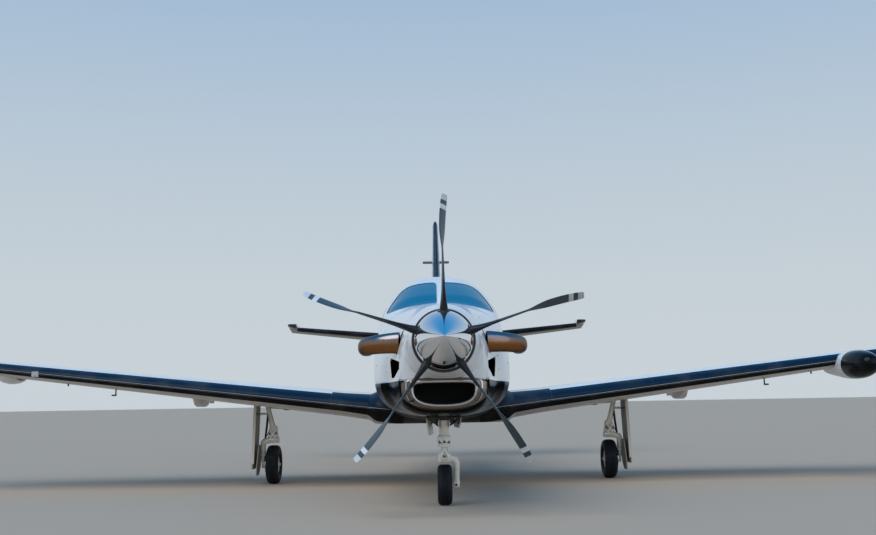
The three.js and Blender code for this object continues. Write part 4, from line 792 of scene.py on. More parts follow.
@dataclass
class Shape:
    """Points in millimetres as x, station and z, with faces and a paint number for each."""

    points: np.ndarray
    faces: list[tuple[int, ...]]
    paint: list[int]

    @classmethod
    def loft(
        cls, rings: Sequence[Path], cap: bool = True, closed: bool = True, paint: Sequence[int] | int = 0,
    ) -> "Shape":
        """Skin over rings of equal length.

        Args:
            rings: the rings in order.
            cap: whether the end rings are filled.
            closed: whether each ring runs round to its start.
            paint: one paint number, or one for each strip.

        Returns:
            The shape.
        """
        grid = np.asarray(rings, float)
        rows, count = grid.shape[:2]
        faces, colours = [], []
        for row in range(rows - 1):
            base = row * count
            for k in range(count if closed else count - 1):
                nxt = (k + 1) % count
                faces.append((base + k, base + nxt, base + count + nxt, base + count + k))
                colours.append(paint if isinstance(paint, int) else paint[row])
        if cap:
            faces += [tuple(range(count))[::-1], tuple(range((rows - 1) * count, rows * count))]
            colours += [colours[0], colours[-1]]
        return cls(grid.reshape(-1, 3), faces, colours)

    @classmethod
    def tube(cls, path: Path, radii: float | Spot, sides: int = 24, bore: float = 0.0) -> "Shape":
        """A round bar along a path.

        Args:
            path: its centre points.
            radii: one radius, or one for each point.
            sides: how many faces go round it.
            bore: the wall's thickness, or 0 where it is solid.

        Returns:
            The shape.
        """
        spots = np.asarray(path, float)
        sizes = np.full(len(spots), radii, float) if np.isscalar(radii) else np.asarray(radii, float)
        (across, up), rings, side = circle(sides), [], None
        for k in range(len(spots)):
            way = spots[min(k + 1, len(spots) - 1)] - spots[max(k - 1, 0)]
            way = way / np.linalg.norm(way)
            if side is None:
                side = np.cross(way, [1.0, 0, 0] if abs(way[0]) < 0.9 else [0, 0, 1.0])
            side = side - way * side.dot(way)
            side = side / np.linalg.norm(side)
            other = np.cross(way, side)
            rings.append(np.outer(across, side) + np.outer(up, other))
        outer = [spots[k] + rings[k] * sizes[k] for k in range(len(spots))]
        if not bore:
            return cls.loft(outer)
        inner = [spots[k] + rings[k] * (sizes[k] - bore) for k in range(len(spots))]
        return cls.loft([*outer, *inner[::-1], outer[0]], cap=False)

    @classmethod
    def turned(
        cls, profile: Path, centre: Spot, axis: str = "x", segments: int = 72, paint: Sequence[int] | int = 0,
    ) -> "Shape":
        """A turned solid from a closed profile of radius and offset.

        Args:
            profile: the points of one side; a radius of 0 lies on the axis.
            centre: where offset 0 is.
            axis: x, y or z.
            segments: how many faces go round it.
            paint: one paint number, or one for each strip.

        Returns:
            The shape.
        """
        across, up = circle(segments)
        place = AXIS_NUMBER[axis]
        rings = []
        for radius, offset in profile:
            ring = np.zeros((segments, 3))
            ring[:, (place + 1) % 3] = radius * across
            ring[:, (place + 2) % 3] = radius * up
            ring[:, place] = offset
            rings.append(ring + np.asarray(centre, float))
        return cls.loft(rings, cap=False, paint=paint)

    @classmethod
    def slab(cls, low: Spot, high: Spot) -> "Shape":
        """A box between two corners."""
        (x0, s0, z0), (x1, s1, z1) = low, high
        return cls.loft([[[x0, s, z0], [x1, s, z0], [x1, s, z1], [x0, s, z1]] for s in (s0, s1)])

    @classmethod
    def prism(cls, outline: Path, axis: str, low: float, high: float) -> "Shape":
        """An outline pushed along an axis.

        Args:
            outline: pairs on the other two axes, in x, station, z order.
            axis: x, y or z.
            low: where it starts.
            high: where it ends.

        Returns:
            The shape.
        """
        flat = np.asarray(outline, float)
        return cls.loft([np.insert(flat, AXIS_NUMBER[axis], spot, axis=1) for spot in (low, high)])

    def __add__(self, other: "Shape") -> "Shape":
        """Both shapes as one.

        Args:
            other: the second shape.

        Returns:
            The whole.
        """
        start = len(self.points)
        moved = [tuple(i + start for i in face) for face in other.faces]
        return Shape(np.vstack([self.points, other.points]), self.faces + moved, self.paint + other.paint)


    def mirrored(self) -> "Shape":
        """The shape on the aircraft's other side.

        Returns:
            Its mirror image.
        """
        return Shape(
            self.points * np.array([-1.0, 1.0, 1.0]), [face[::-1] for face in self.faces], list(self.paint),
        )

    def scaled(self, size: Spot, offset: Spot) -> "Shape":
        """The shape scaled about the origin and then moved."""
        return Shape(self.points * np.array(size) + np.array(offset), self.faces, self.paint)

    def turned_about(self, start: Spot, end: Spot, angle: float) -> "Shape":
        """The shape turned about a line.

        Args:
            start: a point on the line.
            end: another point on it.
            angle: in radians, by the right-hand rule.

        Returns:
            The turned shape.
        """
        pivot = np.asarray(start, float)
        turn = np.array(Matrix.Rotation(angle, 3, Vector(np.asarray(end, float) - pivot)))
        return Shape((self.points - pivot) @ turn.T + pivot, self.faces, self.paint)

    def mesh(self, name: str) -> bpy.types.Mesh:
        """Make a mesh of it in metres, with its faces turned outwards.

        Args:
            name: its name.

        Returns:
            The mesh.
        """
        made = bpy.data.meshes.new(name)
        made.from_pydata(((self.points - TIP) * MM).tolist(), [], self.faces)
        made.polygons.foreach_set("material_index", self.paint)
        work = bmesh.new()
        work.from_mesh(made)
        bmesh.ops.remove_doubles(work, verts=work.verts, dist=WELD)
        bmesh.ops.recalc_face_normals(work, faces=work.faces)
        work.to_mesh(made)
        work.free()
        return made


def carve(target: Piece, cutter: Shape, operation: str = "DIFFERENCE") -> None:
    """Cut a shape out of an object, or keep only what lies within it.

    Args:
        target: the object, which is changed.
        cutter: the other shape.
        operation: the Boolean modifier's operation.
    """
    tool = in_scene("cutter", cutter.mesh("cutter"))
    modifier = target.modifiers.new("carve", "BOOLEAN")
    modifier.solver, modifier.operation, modifier.object = "EXACT", operation, tool
    graph = bpy.context.evaluated_depsgraph_get()
    result = bpy.data.meshes.new_from_object(target.evaluated_get(graph))
    target.modifiers.clear()
    old, target.data = target.data, result
    bpy.data.meshes.remove(old)
    discard(tool)


def smooth(piece: Piece, angle: float = SHARP_ANGLE) -> None:
    """Shade an object smooth, with sharp edges past an angle in degrees."""
    piece.data.shade_smooth()
    piece.data.set_sharp_from_angle(angle=radians(angle))


def place(
    name: str, shape: Shape, finishes: Finish | Sequence[Finish], body: str = "airframe", replaces: str = "",
    angle: float = SHARP_ANGLE,
) -> Piece:
    """Put a shape in the scene as a finished piece.

    Args:
        name: the piece's name.
        shape: its form.
        finishes: one finish, or one for each paint number.
        body: the body that it rides on.
        replaces: the frame's nodes that it stands for, with a space between them.
        angle: edges past this many degrees stay sharp.

    Returns:
        The object.
    """
    looks = (finishes,) if isinstance(finishes, Finish) else tuple(finishes)
    piece = in_scene(name, shape.mesh(name))
    for look in looks:
        piece.data.materials.append(look.material())
    smooth(piece, angle)
    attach(piece, body)
    if replaces:
        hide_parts(*replaces.split())
    LOG.info("%s: %d faces", name, len(piece.data.polygons))
    return piece


def place_pair(
    name: str, shape: Shape, finishes: Finish | Sequence[Finish], body: str = "airframe", replaces: str = "",
    angle: float = SHARP_ANGLE,
) -> list[Piece]:
    """Put a shape on the left and its mirror image on the right.

    Args:
        name: the pieces' name, in which {} becomes left or right, as it does in body and replaces.
        shape: the left piece's form.
        finishes: as for one piece.
        body: the body that each rides on.
        replaces: the frame's node that each stands for.
        angle: edges past this many degrees stay sharp.

    Returns:
        The left and the right object.
    """
    return [
        place(name.format(word), form, finishes, body.format(word), replaces.format(word), angle)
        for word, form in (("left", shape), ("right", shape.mirrored()))
    ]


@dataclass(frozen=True)
class Curve:
    """A smooth line through rows of numbers that never overshoots them."""

    rows: Rows

    def at(self, places: Spot | np.ndarray) -> np.ndarray:
        """Read the line.

        Args:
            places: values of the rows' first number.

        Returns:
            One row of the other numbers for each place.
        """
        table = np.asarray(self.rows, float)
        knots, values = table[:, 0], table[:, 1:]
        spots = np.clip(np.asarray(places, float), knots[0], knots[-1])
        slopes = np.diff(values, axis=0) / np.diff(knots)[:, None]
        product = slopes[:-1] * slopes[1:]
        total = np.where(np.abs(slopes[:-1] + slopes[1:]) < 1e-12, 1.0, slopes[:-1] + slopes[1:])
        inner = np.where(product > 0, 2 * product / total, 0.0)
        tangents = np.vstack([slopes[:1], inner, slopes[-1:]])
        i = np.clip(np.searchsorted(knots, spots, side="right") - 1, 0, len(knots) - 2)
        width = (knots[i + 1] - knots[i])[:, None]
        t = ((spots - knots[i])[:, None]) / width
        first = (2 * t**3 - 3 * t**2 + 1) * values[i] + (t**3 - 2 * t**2 + t) * width * tangents[i]
        return first + (3 * t**2 - 2 * t**3) * values[i + 1] + (t**3 - t**2) * width * tangents[i + 1]


# Fuselage sections: station, top, bottom, half width, height of the widest line, upper and lower roundness.
HULL_ROWS = (
    (616, 1637, 1133, 252, 1385, 2.0, 2.0),
    (700, 1662, 1112, 285, 1370, 2.0, 2.1),
    (838, 1692, 1078, 325, 1330, 2.1, 2.4),
    (842, 1693, 832, 345, 1200, 2.1, 2.8),
    (1000, 1715, 797, 390, 1130, 2.2, 3.0),
    (1200, 1738, 778, 420, 1120, 2.2, 3.0),
    (1500, 1765, 770, 470, 1150, 2.25, 3.0),
    (2000, 1815, 766, 598, 1180, 2.35, 3.0),
    (2350, 1850, 764, 652, 1210, 2.4, 3.0),
    (2950, 1893, 750, 679, 1240, 2.7, 3.0),
    (3300, 2045, 715, 681, 1250, 3.0, 3.0),
    (3600, 2170, 690, 681, 1250, 3.05, 3.0),
    (3800, 2245, 684, 680, 1250, 2.85, 3.0),
    (4150, 2325, 680, 678, 1255, 2.65, 3.0),
    (4600, 2352, 680, 675, 1255, 2.6, 3.0),
    (5200, 2350, 690, 668, 1260, 2.6, 3.0),
    (5800, 2328, 730, 654, 1275, 2.6, 2.9),
    (6400, 2290, 820, 622, 1300, 2.55, 2.7),
    (7200, 2225, 955, 545, 1360, 2.45, 2.5),
    (8000, 2135, 1140, 430, 1450, 2.35, 2.4),
    (9000, 2018, 1415, 285, 1570, 2.2, 2.2),
    (9800, 1925, 1620, 170, 1680, 2.1, 2.1),
    (10300, 1866, 1745, 70, 1790, 2.0, 2.0),
)


@dataclass(frozen=True)
class Hull:
    """The fuselage's smooth form."""

    rows: Rows = HULL_ROWS
    points: int = 112
    facing: float = 0.9

    def ring(self, station: float, inset: float = 0.0) -> np.ndarray:
        """The points round one section.

        Args:
            station: the section's station.
            inset: how far it is moved in.

        Returns:
            One row for each point.
        """
        top, bottom, half, wide, upper, lower = Curve(self.rows).at([station])[0]
        across, up = circle(self.points)
        power = 2 / np.where(up >= 0, upper, lower)
        reach = np.where(up >= 0, top - wide, wide - bottom) - inset
        x, z = (half - inset) * bent(across, power), wide + reach * bent(up, power)
        return np.column_stack([x, np.full(self.points, station), z])

    def spots(self, start: float, end: float, step: float = 60.0) -> np.ndarray:
        """Stations for sections, the table's own ones among them.

        Args:
            start: the first.
            end: the last.
            step: the longest stride.

        Returns:
            The stations.
        """
        inner = [row[0] for row in self.rows if start + 3 < row[0] < end - 3]
        knots = [start, *inner, end]
        parts = [np.linspace(a, b, max(2, ceil((b - a) / step) + 1))[:-1] for a, b in zip(knots, knots[1:])]
        return np.append(np.concatenate(parts), end)

    def skin(self, start: float, end: float, outer: float, inner: float, step: float = 60.0) -> Shape:
        """A closed tube of even wall.

        Args:
            start: its first station.
            end: its last.
            outer: how far its outer face is moved in.
            inner: the same for its inner face.
            step: the longest stride between sections.

        Returns:
            The shape, its inner face and ends with paint number 1.
        """
        spots = self.spots(start, end, step)
        rings = [self.ring(s, outer) for s in spots] + [self.ring(s, inner) for s in spots[::-1]]
        paint = [0] * (len(spots) - 1) + [1] * (len(spots) + 1)
        return Shape.loft([*rings, rings[0]], cap=False, paint=paint)

    def side(self, station: float, z: float) -> float:
        """Half the width at a height.

        Args:
            station: the section's station.
            z: the height.

        Returns:
            Half the width.
        """
        top, bottom, half, wide, upper, lower = Curve(self.rows).at([station])[0]
        power, reach = (upper, top - wide) if z >= wide else (lower, wide - bottom)
        return half * max(0.0, 1 - (abs(z - wide) / reach) ** power) ** (1 / power)

    def normals(self, points: np.ndarray) -> np.ndarray:
        """The form's outward unit vectors at places on or near it.

        Args:
            points: the places.

        Returns:
            One vector for each place.
        """
        def level(spots: np.ndarray) -> np.ndarray:
            """How far out each place lies, with 1 on the form.

            Args:
                spots: the places.

            Returns:
                One number for each place.
            """
            top, bottom, half, wide, upper, lower = Curve(self.rows).at(spots[:, 1]).T
            over = spots[:, 2] >= wide
            power = np.where(over, upper, lower)
            reach = np.where(over, top - wide, wide - bottom)
            far = (np.abs(spots[:, 0]) / half) ** power + (np.abs(spots[:, 2] - wide) / reach) ** power
            return far ** (1 / power)

        found = np.stack([level(points + nudge) - level(points - nudge) for nudge in 2.0 * np.eye(3)], axis=1)
        return found / np.maximum(np.linalg.norm(found, axis=1, keepdims=True), 1e-9)

    def polish(self, piece: Piece) -> None:
        """Shade a carved piece by the form itself, so that cuts leave no marks in its gloss.

        Args:
            piece: the piece.
        """
        data = piece.data
        corner, sizes = np.empty(len(data.loops), np.int32), np.empty(len(data.polygons), np.int32)
        data.loops.foreach_get("vertex_index", corner)
        data.polygons.foreach_get("loop_total", sizes)
        flat = np.empty(len(data.polygons) * 3)
        data.polygons.foreach_get("normal", flat)
        flat = np.repeat(flat.reshape(-1, 3), sizes, axis=0)
        round_ways = self.normals(points_of(data))[corner]
        along = np.sum(flat * round_ways, axis=1)[:, None]
        ways = np.where(along > self.facing, round_ways, np.where(along < -self.facing, -round_ways, flat))
        data.normals_split_custom_set([tuple(way) for way in ways])


def rounded(cx: float, cz: float, width: float, height: float, radius: float, steps: int = 8) -> Outline:
    """A rounded rectangle's outline.

    Args:
        cx: its middle on the first axis.
        cz: its middle on the second.
        width: its size on the first axis.
        height: its size on the second.
        radius: its corners' radius.
        steps: how many faces each corner has.

    Returns:
        The outline's points.
    """
    outline = []
    for right, up, start in ((1, 1, 0), (-1, 1, 90), (-1, -1, 180), (1, -1, 270)):
        for k in range(steps + 1):
            angle = radians(start + 90 * k / steps)
            x = cx + right * (width / 2 - radius) + radius * cos(angle)
            outline.append((x, cz + up * (height / 2 - radius) + radius * sin(angle)))
    return outline


def rounded_corners(outline: Path, reach: float, steps: int = 6) -> Outline:
    """Soften an outline's corners with short curves.

    Args:
        outline: its corners.
        reach: how far from a corner its curve starts.
        steps: how many faces each curve has.

    Returns:
        The softened outline.
    """
    corners = [np.asarray(point, float) for point in outline]
    soft = []
    for k, corner in enumerate(corners):
        before, after = corners[k - 1] - corner, corners[(k + 1) % len(corners)] - corner
        start = corner + before * min(0.45, reach / np.linalg.norm(before))
        end = corner + after * min(0.45, reach / np.linalg.norm(after))
        for t in np.linspace(0, 1, steps + 1):
            soft.append(tuple((1 - t) ** 2 * start + 2 * t * (1 - t) * corner + t * t * end))
    return soft


def ahead_prism(outline: Path, front: float, back: Callable[[float], float]) -> Shape:
    """An outline of x and height pushed aft from a station to one that follows the height."""
    return Shape.loft([[(x, front, z) for x, z in outline], [(x, back(z), z) for x, z in outline]])


def joined(shapes: Sequence[Shape]) -> Shape:
    """Several shapes as one.

    Args:
        shapes: the shapes.

    Returns:
        The whole.
    """
    total = shapes[0]
    for shape in shapes[1:]:
        total = total + shape
    return total


def kept(shape: Shape, cutter: Shape) -> Shape:
    """The part of a shape that lies within another.

    Args:
        shape: the shape.
        cutter: the other one.

    Returns:
        That part.
    """
    work = in_scene("blank", shape.mesh("blank"))
    carve(work, cutter, "INTERSECT")
    faces = [tuple(face.vertices) for face in work.data.polygons]
    part = Shape(points_of(work.data), faces, [face.material_index for face in work.data.polygons])
    discard(work)
    return part


HULL = Hull()


@dataclass
class Cowling:
    """The engine's cowling, with the chin intake."""

    hull: Hull = HULL
    wall: float = 10.0
    split: float = 1075.0
    rear: float = 2349.5
    gill: tuple[tuple[float, float], ...] = ((470, 1292), (366, 1231), (357, 1186), (418, 1108), (448, 1108))
    mouth_half: float = 243.0
    mouth_top: float = 1046.0
    mouth_bottom: float = 886.0
    mouth_middle: float = 1000.0
    chin_half: float = 350.0
    chin_reach: tuple[float, float] = (73.0, 141.0)
    # The chin's own sections, in the columns of HULL_ROWS.
    chin_rows: Rows = (
        (842, 1693, 860, 352, 1200, 2.1, 2.8),
        (862, 1696, 834, 364, 1185, 2.1, 2.85),
        (900, 1701, 817, 376, 1160, 2.15, 2.9),
        *HULL_ROWS[4:],
    )

    def mouth(self, grow: float, station: float, pull: float = 0.0) -> np.ndarray:
        """The intake's outline.

        Args:
            grow: the margin that it is grown by.
            station: where it is.
            pull: how far it has turned into the chin's own outline, from 0 to 1.

        Returns:
            The points.
        """
        across, up = circle(self.hull.points)
        over = up >= 0
        power, far_power = 2 / np.where(over, 5.0, 2.6), 2 / np.where(over, 9.0, 2.9)
        reach = np.where(over, self.mouth_top - self.mouth_middle, self.mouth_middle - self.mouth_bottom) + grow
        x, z = (self.mouth_half + grow) * bent(across, power), self.mouth_middle + reach * bent(up, power)
        far_z = self.mouth_middle + np.where(over, *self.chin_reach) * bent(up, far_power)
        x = x * (1 - pull) + pull * self.chin_half * bent(across, far_power)
        return np.column_stack([x, np.full(len(x), station), z * (1 - pull) + pull * far_z])

    def build(self) -> None:
        """Make the cowls, the intake and their trim."""
        # The cowls' inner faces take the near-black painted shade.
        shell = self.hull.skin(617, self.rear, 0, self.wall, 40)
        upper = place("cowl_upper", shell, (COWL_PAINT, RECESS_SHADE), replaces="cowl_top")
        carve(upper, Shape.slab((-800, 560, 600), (800, 2400, self.split)))
        gill = ahead_prism(self.gill, 900, lambda z: 1520)
        ports = Exhausts().port()
        for cut in (gill, gill.mirrored(), ports, ports.mirrored()):
            carve(upper, cut)
        self.hull.polish(upper)
        chin_form = Hull(self.chin_rows)
        tray = chin_form.skin(842, self.rear, 0, self.wall, 40)
        lower = place("cowl_lower", tray, (LOWER_COWL, RECESS_SHADE), replaces="cowl_bottom")
        carve(lower, Shape.slab((-800, 800, self.split - 1), (800, 2400, 1900)))
        carve(lower, Shape.slab((-140, 1330, 700), (140, 2200, 900)))
        chin_form.polish(lower)
        self.lip()
        self.cheeks()

    def lip(self) -> None:
        """Make the rolled lip round the intake and the duct behind it, whose near-black paint is painted shade."""
        rows = (
            (0, 1236, 0.0), (0, 900, 0.0), (0, 850, 0.0), (1, 832, 0.0), (5, 820, 0.0), (11, 812, 0.0),
            (18, 809, 0.0),
            (26, 811, 0.0), (38, 818, 0.0), (48, 824, 0.1), (52, 826, 0.2), (56, 829, 0.35), (60, 833, 0.6),
            (62, 837, 0.82),
            (62, 843, 1.0), (50, 860, 0.9), (20, 870, 0.0), (16, 1236, 0.0), (0, 1236, 0.0),
        )
        paint = [3, 3, 3, 0, 0, 0, 0, 1, 1, 2, 0, 1, 1, 1, 3, 3, 3, 3]
        rings = [self.mouth(grow, station, pull) for grow, station, pull in rows]
        ring = Shape.loft(rings, cap=False, paint=paint)
        place("intake_ring", ring, (LIP_METAL, LIP_BRONZE, LIP_DARK, RECESS_SHADE), replaces="intake_lip", angle=50)
        # A near-black plate inside the duct, painted shade that closes the view into the intake.
        place("intake_shade_plate", Shape.loft([self.mouth(-0.5, s) for s in (1180, 1200)]), RECESS_SHADE)

    def cheeks(self) -> None:
        """Make the latches on the cowl's sides and the seam ring at the nose."""
        ring = [self.hull.ring(s, inset) for s, inset in ((612, 4), (612, -2.5), (624, -3), (628, -0.5), (628, 4))]
        place("nose_ring", Shape.loft([*ring, ring[0]], cap=False), LIP_DARK)
        profile, latches = [(0, -3), (11, -3), (11, 1.2), (8, 2.4), (0, 2.4)], []
        for station, z in ((1640, 1300), (1640, 1180), (2120, 1560), (2120, 1250), (1180, 1560), (1600, 1640)):
            latches.append(Shape.turned(profile, (self.hull.side(station, z), station, z), "x", 20))
        side = joined(latches)
        place("cowl_latches", side + side.mirrored(), STEEL)


@dataclass
class Exhausts:
    """The two exhaust stacks."""

    # Places along the pipe: distance, x, station, half width, half height, height of the middle.
    path: Rows = (
        (0, 170, 1120, 88, 92, 1401), (210, 380, 1130, 88, 90, 1400), (335, 503, 1165, 86, 84, 1396),
        (459, 604, 1245, 82, 78, 1389),
        (584, 658, 1360, 76, 74, 1385), (705, 675, 1480, 72, 72, 1384), (845, 680, 1620, 70, 71, 1384),
    )

    def rings(self, start: float, end: float, grow: float, count: int) -> list[np.ndarray]:
        """Sections across the bent pipe.

        Args:
            start: how far along it the first is.
            end: how far along the last is.
            grow: how far they stand out from the pipe.
            count: how many there are.

        Returns:
            The sections.
        """
        line, spots = Curve(self.path), np.linspace(start, end, count)
        ways = line.at(spots + 4)[:, :2] - line.at(spots - 4)[:, :2]
        ways /= np.linalg.norm(ways, axis=1, keepdims=True)
        across, up = (bent(part, 0.82) for part in circle(56))
        rings = []
        for (x, station, wide, high, centre), (wx, ws) in zip(line.at(spots), ways):
            side, rise = (wide + grow) * across, (high + grow) * up
            rings.append(np.column_stack([x + side * ws, station - side * wx, centre + rise]))
        return rings

    def port(self) -> Shape:
        """The hole that the pipe needs in the cowl."""
        return Shape.loft(self.rings(0, 459, 14, 12))

    def build(self) -> None:
        """Make both stacks."""
        outer = self.rings(200, 843, 0, 34)
        lip = self.rings(843, 845, -2.5, 2)[-1:]
        inner = self.rings(330, 844, -6, 30)[::-1]
        stack = Shape.loft([*outer, *lip, *inner], paint=[0] * len(outer) + [1] * len(inner))
        place_pair("stack_{}", stack, (STACK_METAL, STACK_INSIDE), replaces="exhaust_{}", angle=45)


@dataclass
class Propeller:
    """The five-blade propeller and its spinner."""

    blades: int = 5
    turn: float = radians(-0.05)
    nose_length: float = 604.0
    nose_radius: float = 240.0
    fullness: float = 1.75
    # The blade's sections: radius, chord, thickness, pitch in degrees, sweep.
    rows: Rows = (
        (150, 84, 70, 108, 0), (235, 92, 64, 107, 0), (300, 114, 44, 103, 0), (400, 148, 28, 96, -4),
        (520, 172, 21, 93, -12),
        (620, 180, 17, 91.5, -15), (700, 184, 14, 90, -15), (780, 182, 13, 82, -11), (860, 178, 12, 75.5, -4),
        (964, 166, 10, 72, 12),
        (1040, 152, 9, 70, 27), (1115, 130, 8, 67, 45), (1158, 112, 6, 65.5, 56), (1173, 92, 4, 65, 61),
    )

    def angles(self) -> list[float]:
        """Where the blades point."""
        return [pi / 2 + self.turn - 2 * pi * k / self.blades for k in range(self.blades)]

    def blade(self, angle: float) -> Shape:
        """One feathered blade.

        Args:
            angle: its direction round the shaft, in radians.

        Returns:
            Its shape.
        """
        out = np.array([cos(angle), 0.0, sin(angle)])
        turning, ahead = np.array([-sin(angle), 0.0, cos(angle)]), np.array([0.0, -1.0, 0.0])
        spots = np.concatenate([np.linspace(self.rows[0][0], 1100, 44), np.linspace(1110, self.rows[-1][0], 10)])
        (across, up), rings = circle(40), []
        for radius, (chord, thick, pitch, bend) in zip(spots, Curve(self.rows).at(spots)):
            tilt = radians(pitch)
            chord_way = turning * cos(tilt) + ahead * sin(tilt)
            flat_way = ahead * cos(tilt) - turning * sin(tilt)
            centre = np.array(PROP_AXIS) + out * radius - chord_way * bend
            rise = thick / 2 * up * (1 + 0.25 * across)
            rings.append(centre + np.outer(chord / 2 * across, chord_way) + np.outer(rise, flat_way))
        return Shape.loft(rings)

    def nose(self, station: float) -> float:
        """The spinner's radius at a station."""
        return self.nose_radius * (1 - (1 - station / self.nose_length) ** self.fullness)

    def build(self) -> None:
        """Make the blades, their root cuffs and the spinner."""
        for k, angle in enumerate(self.angles(), 1):
            place(f"propeller_blade_{k}", self.blade(angle), BLADE, "propeller", f"blade_{k}", angle=60)
        steps = self.nose_length * (np.linspace(0, 1, 56) ** 1.5)
        profile = [(0.0, 0.0)] + [(self.nose(s), s) for s in steps[1:] if s < 588]
        rim = [(240, 590), (243, 592), (243, 603), (236, 604), (60, 604), (60, 560), (0, 560)]
        centre = (0.0, 0.0, PROP_AXIS[2])
        paint = [0] * (len(profile) - 1) + [1] * len(rim)
        spinner = Shape.turned(profile + rim, centre, "y", 128, paint)
        place("spinner_shell", spinner, (CHROME, LIP_DARK), "propeller", "spinner", angle=40)
        cuffs = []
        for angle in self.angles():
            out = np.array([cos(angle), 0.0, sin(angle)])
            cuffs.append(
                Shape.tube([np.array(PROP_AXIS) + out * r for r in (180, 214, 219, 222)], [53, 53, 51, 46], 40)
            )
        black = replace(BLADE, name="cuff_black", colour=(0.02, 0.023, 0.028), layers=())
        place("blade_cuffs", joined(cuffs), black, "propeller")
        place("propeller_shaft", Shape.turned([(0, 300), (44, 300), (44, 640), (0, 640)], centre, "y", 40), STEEL)


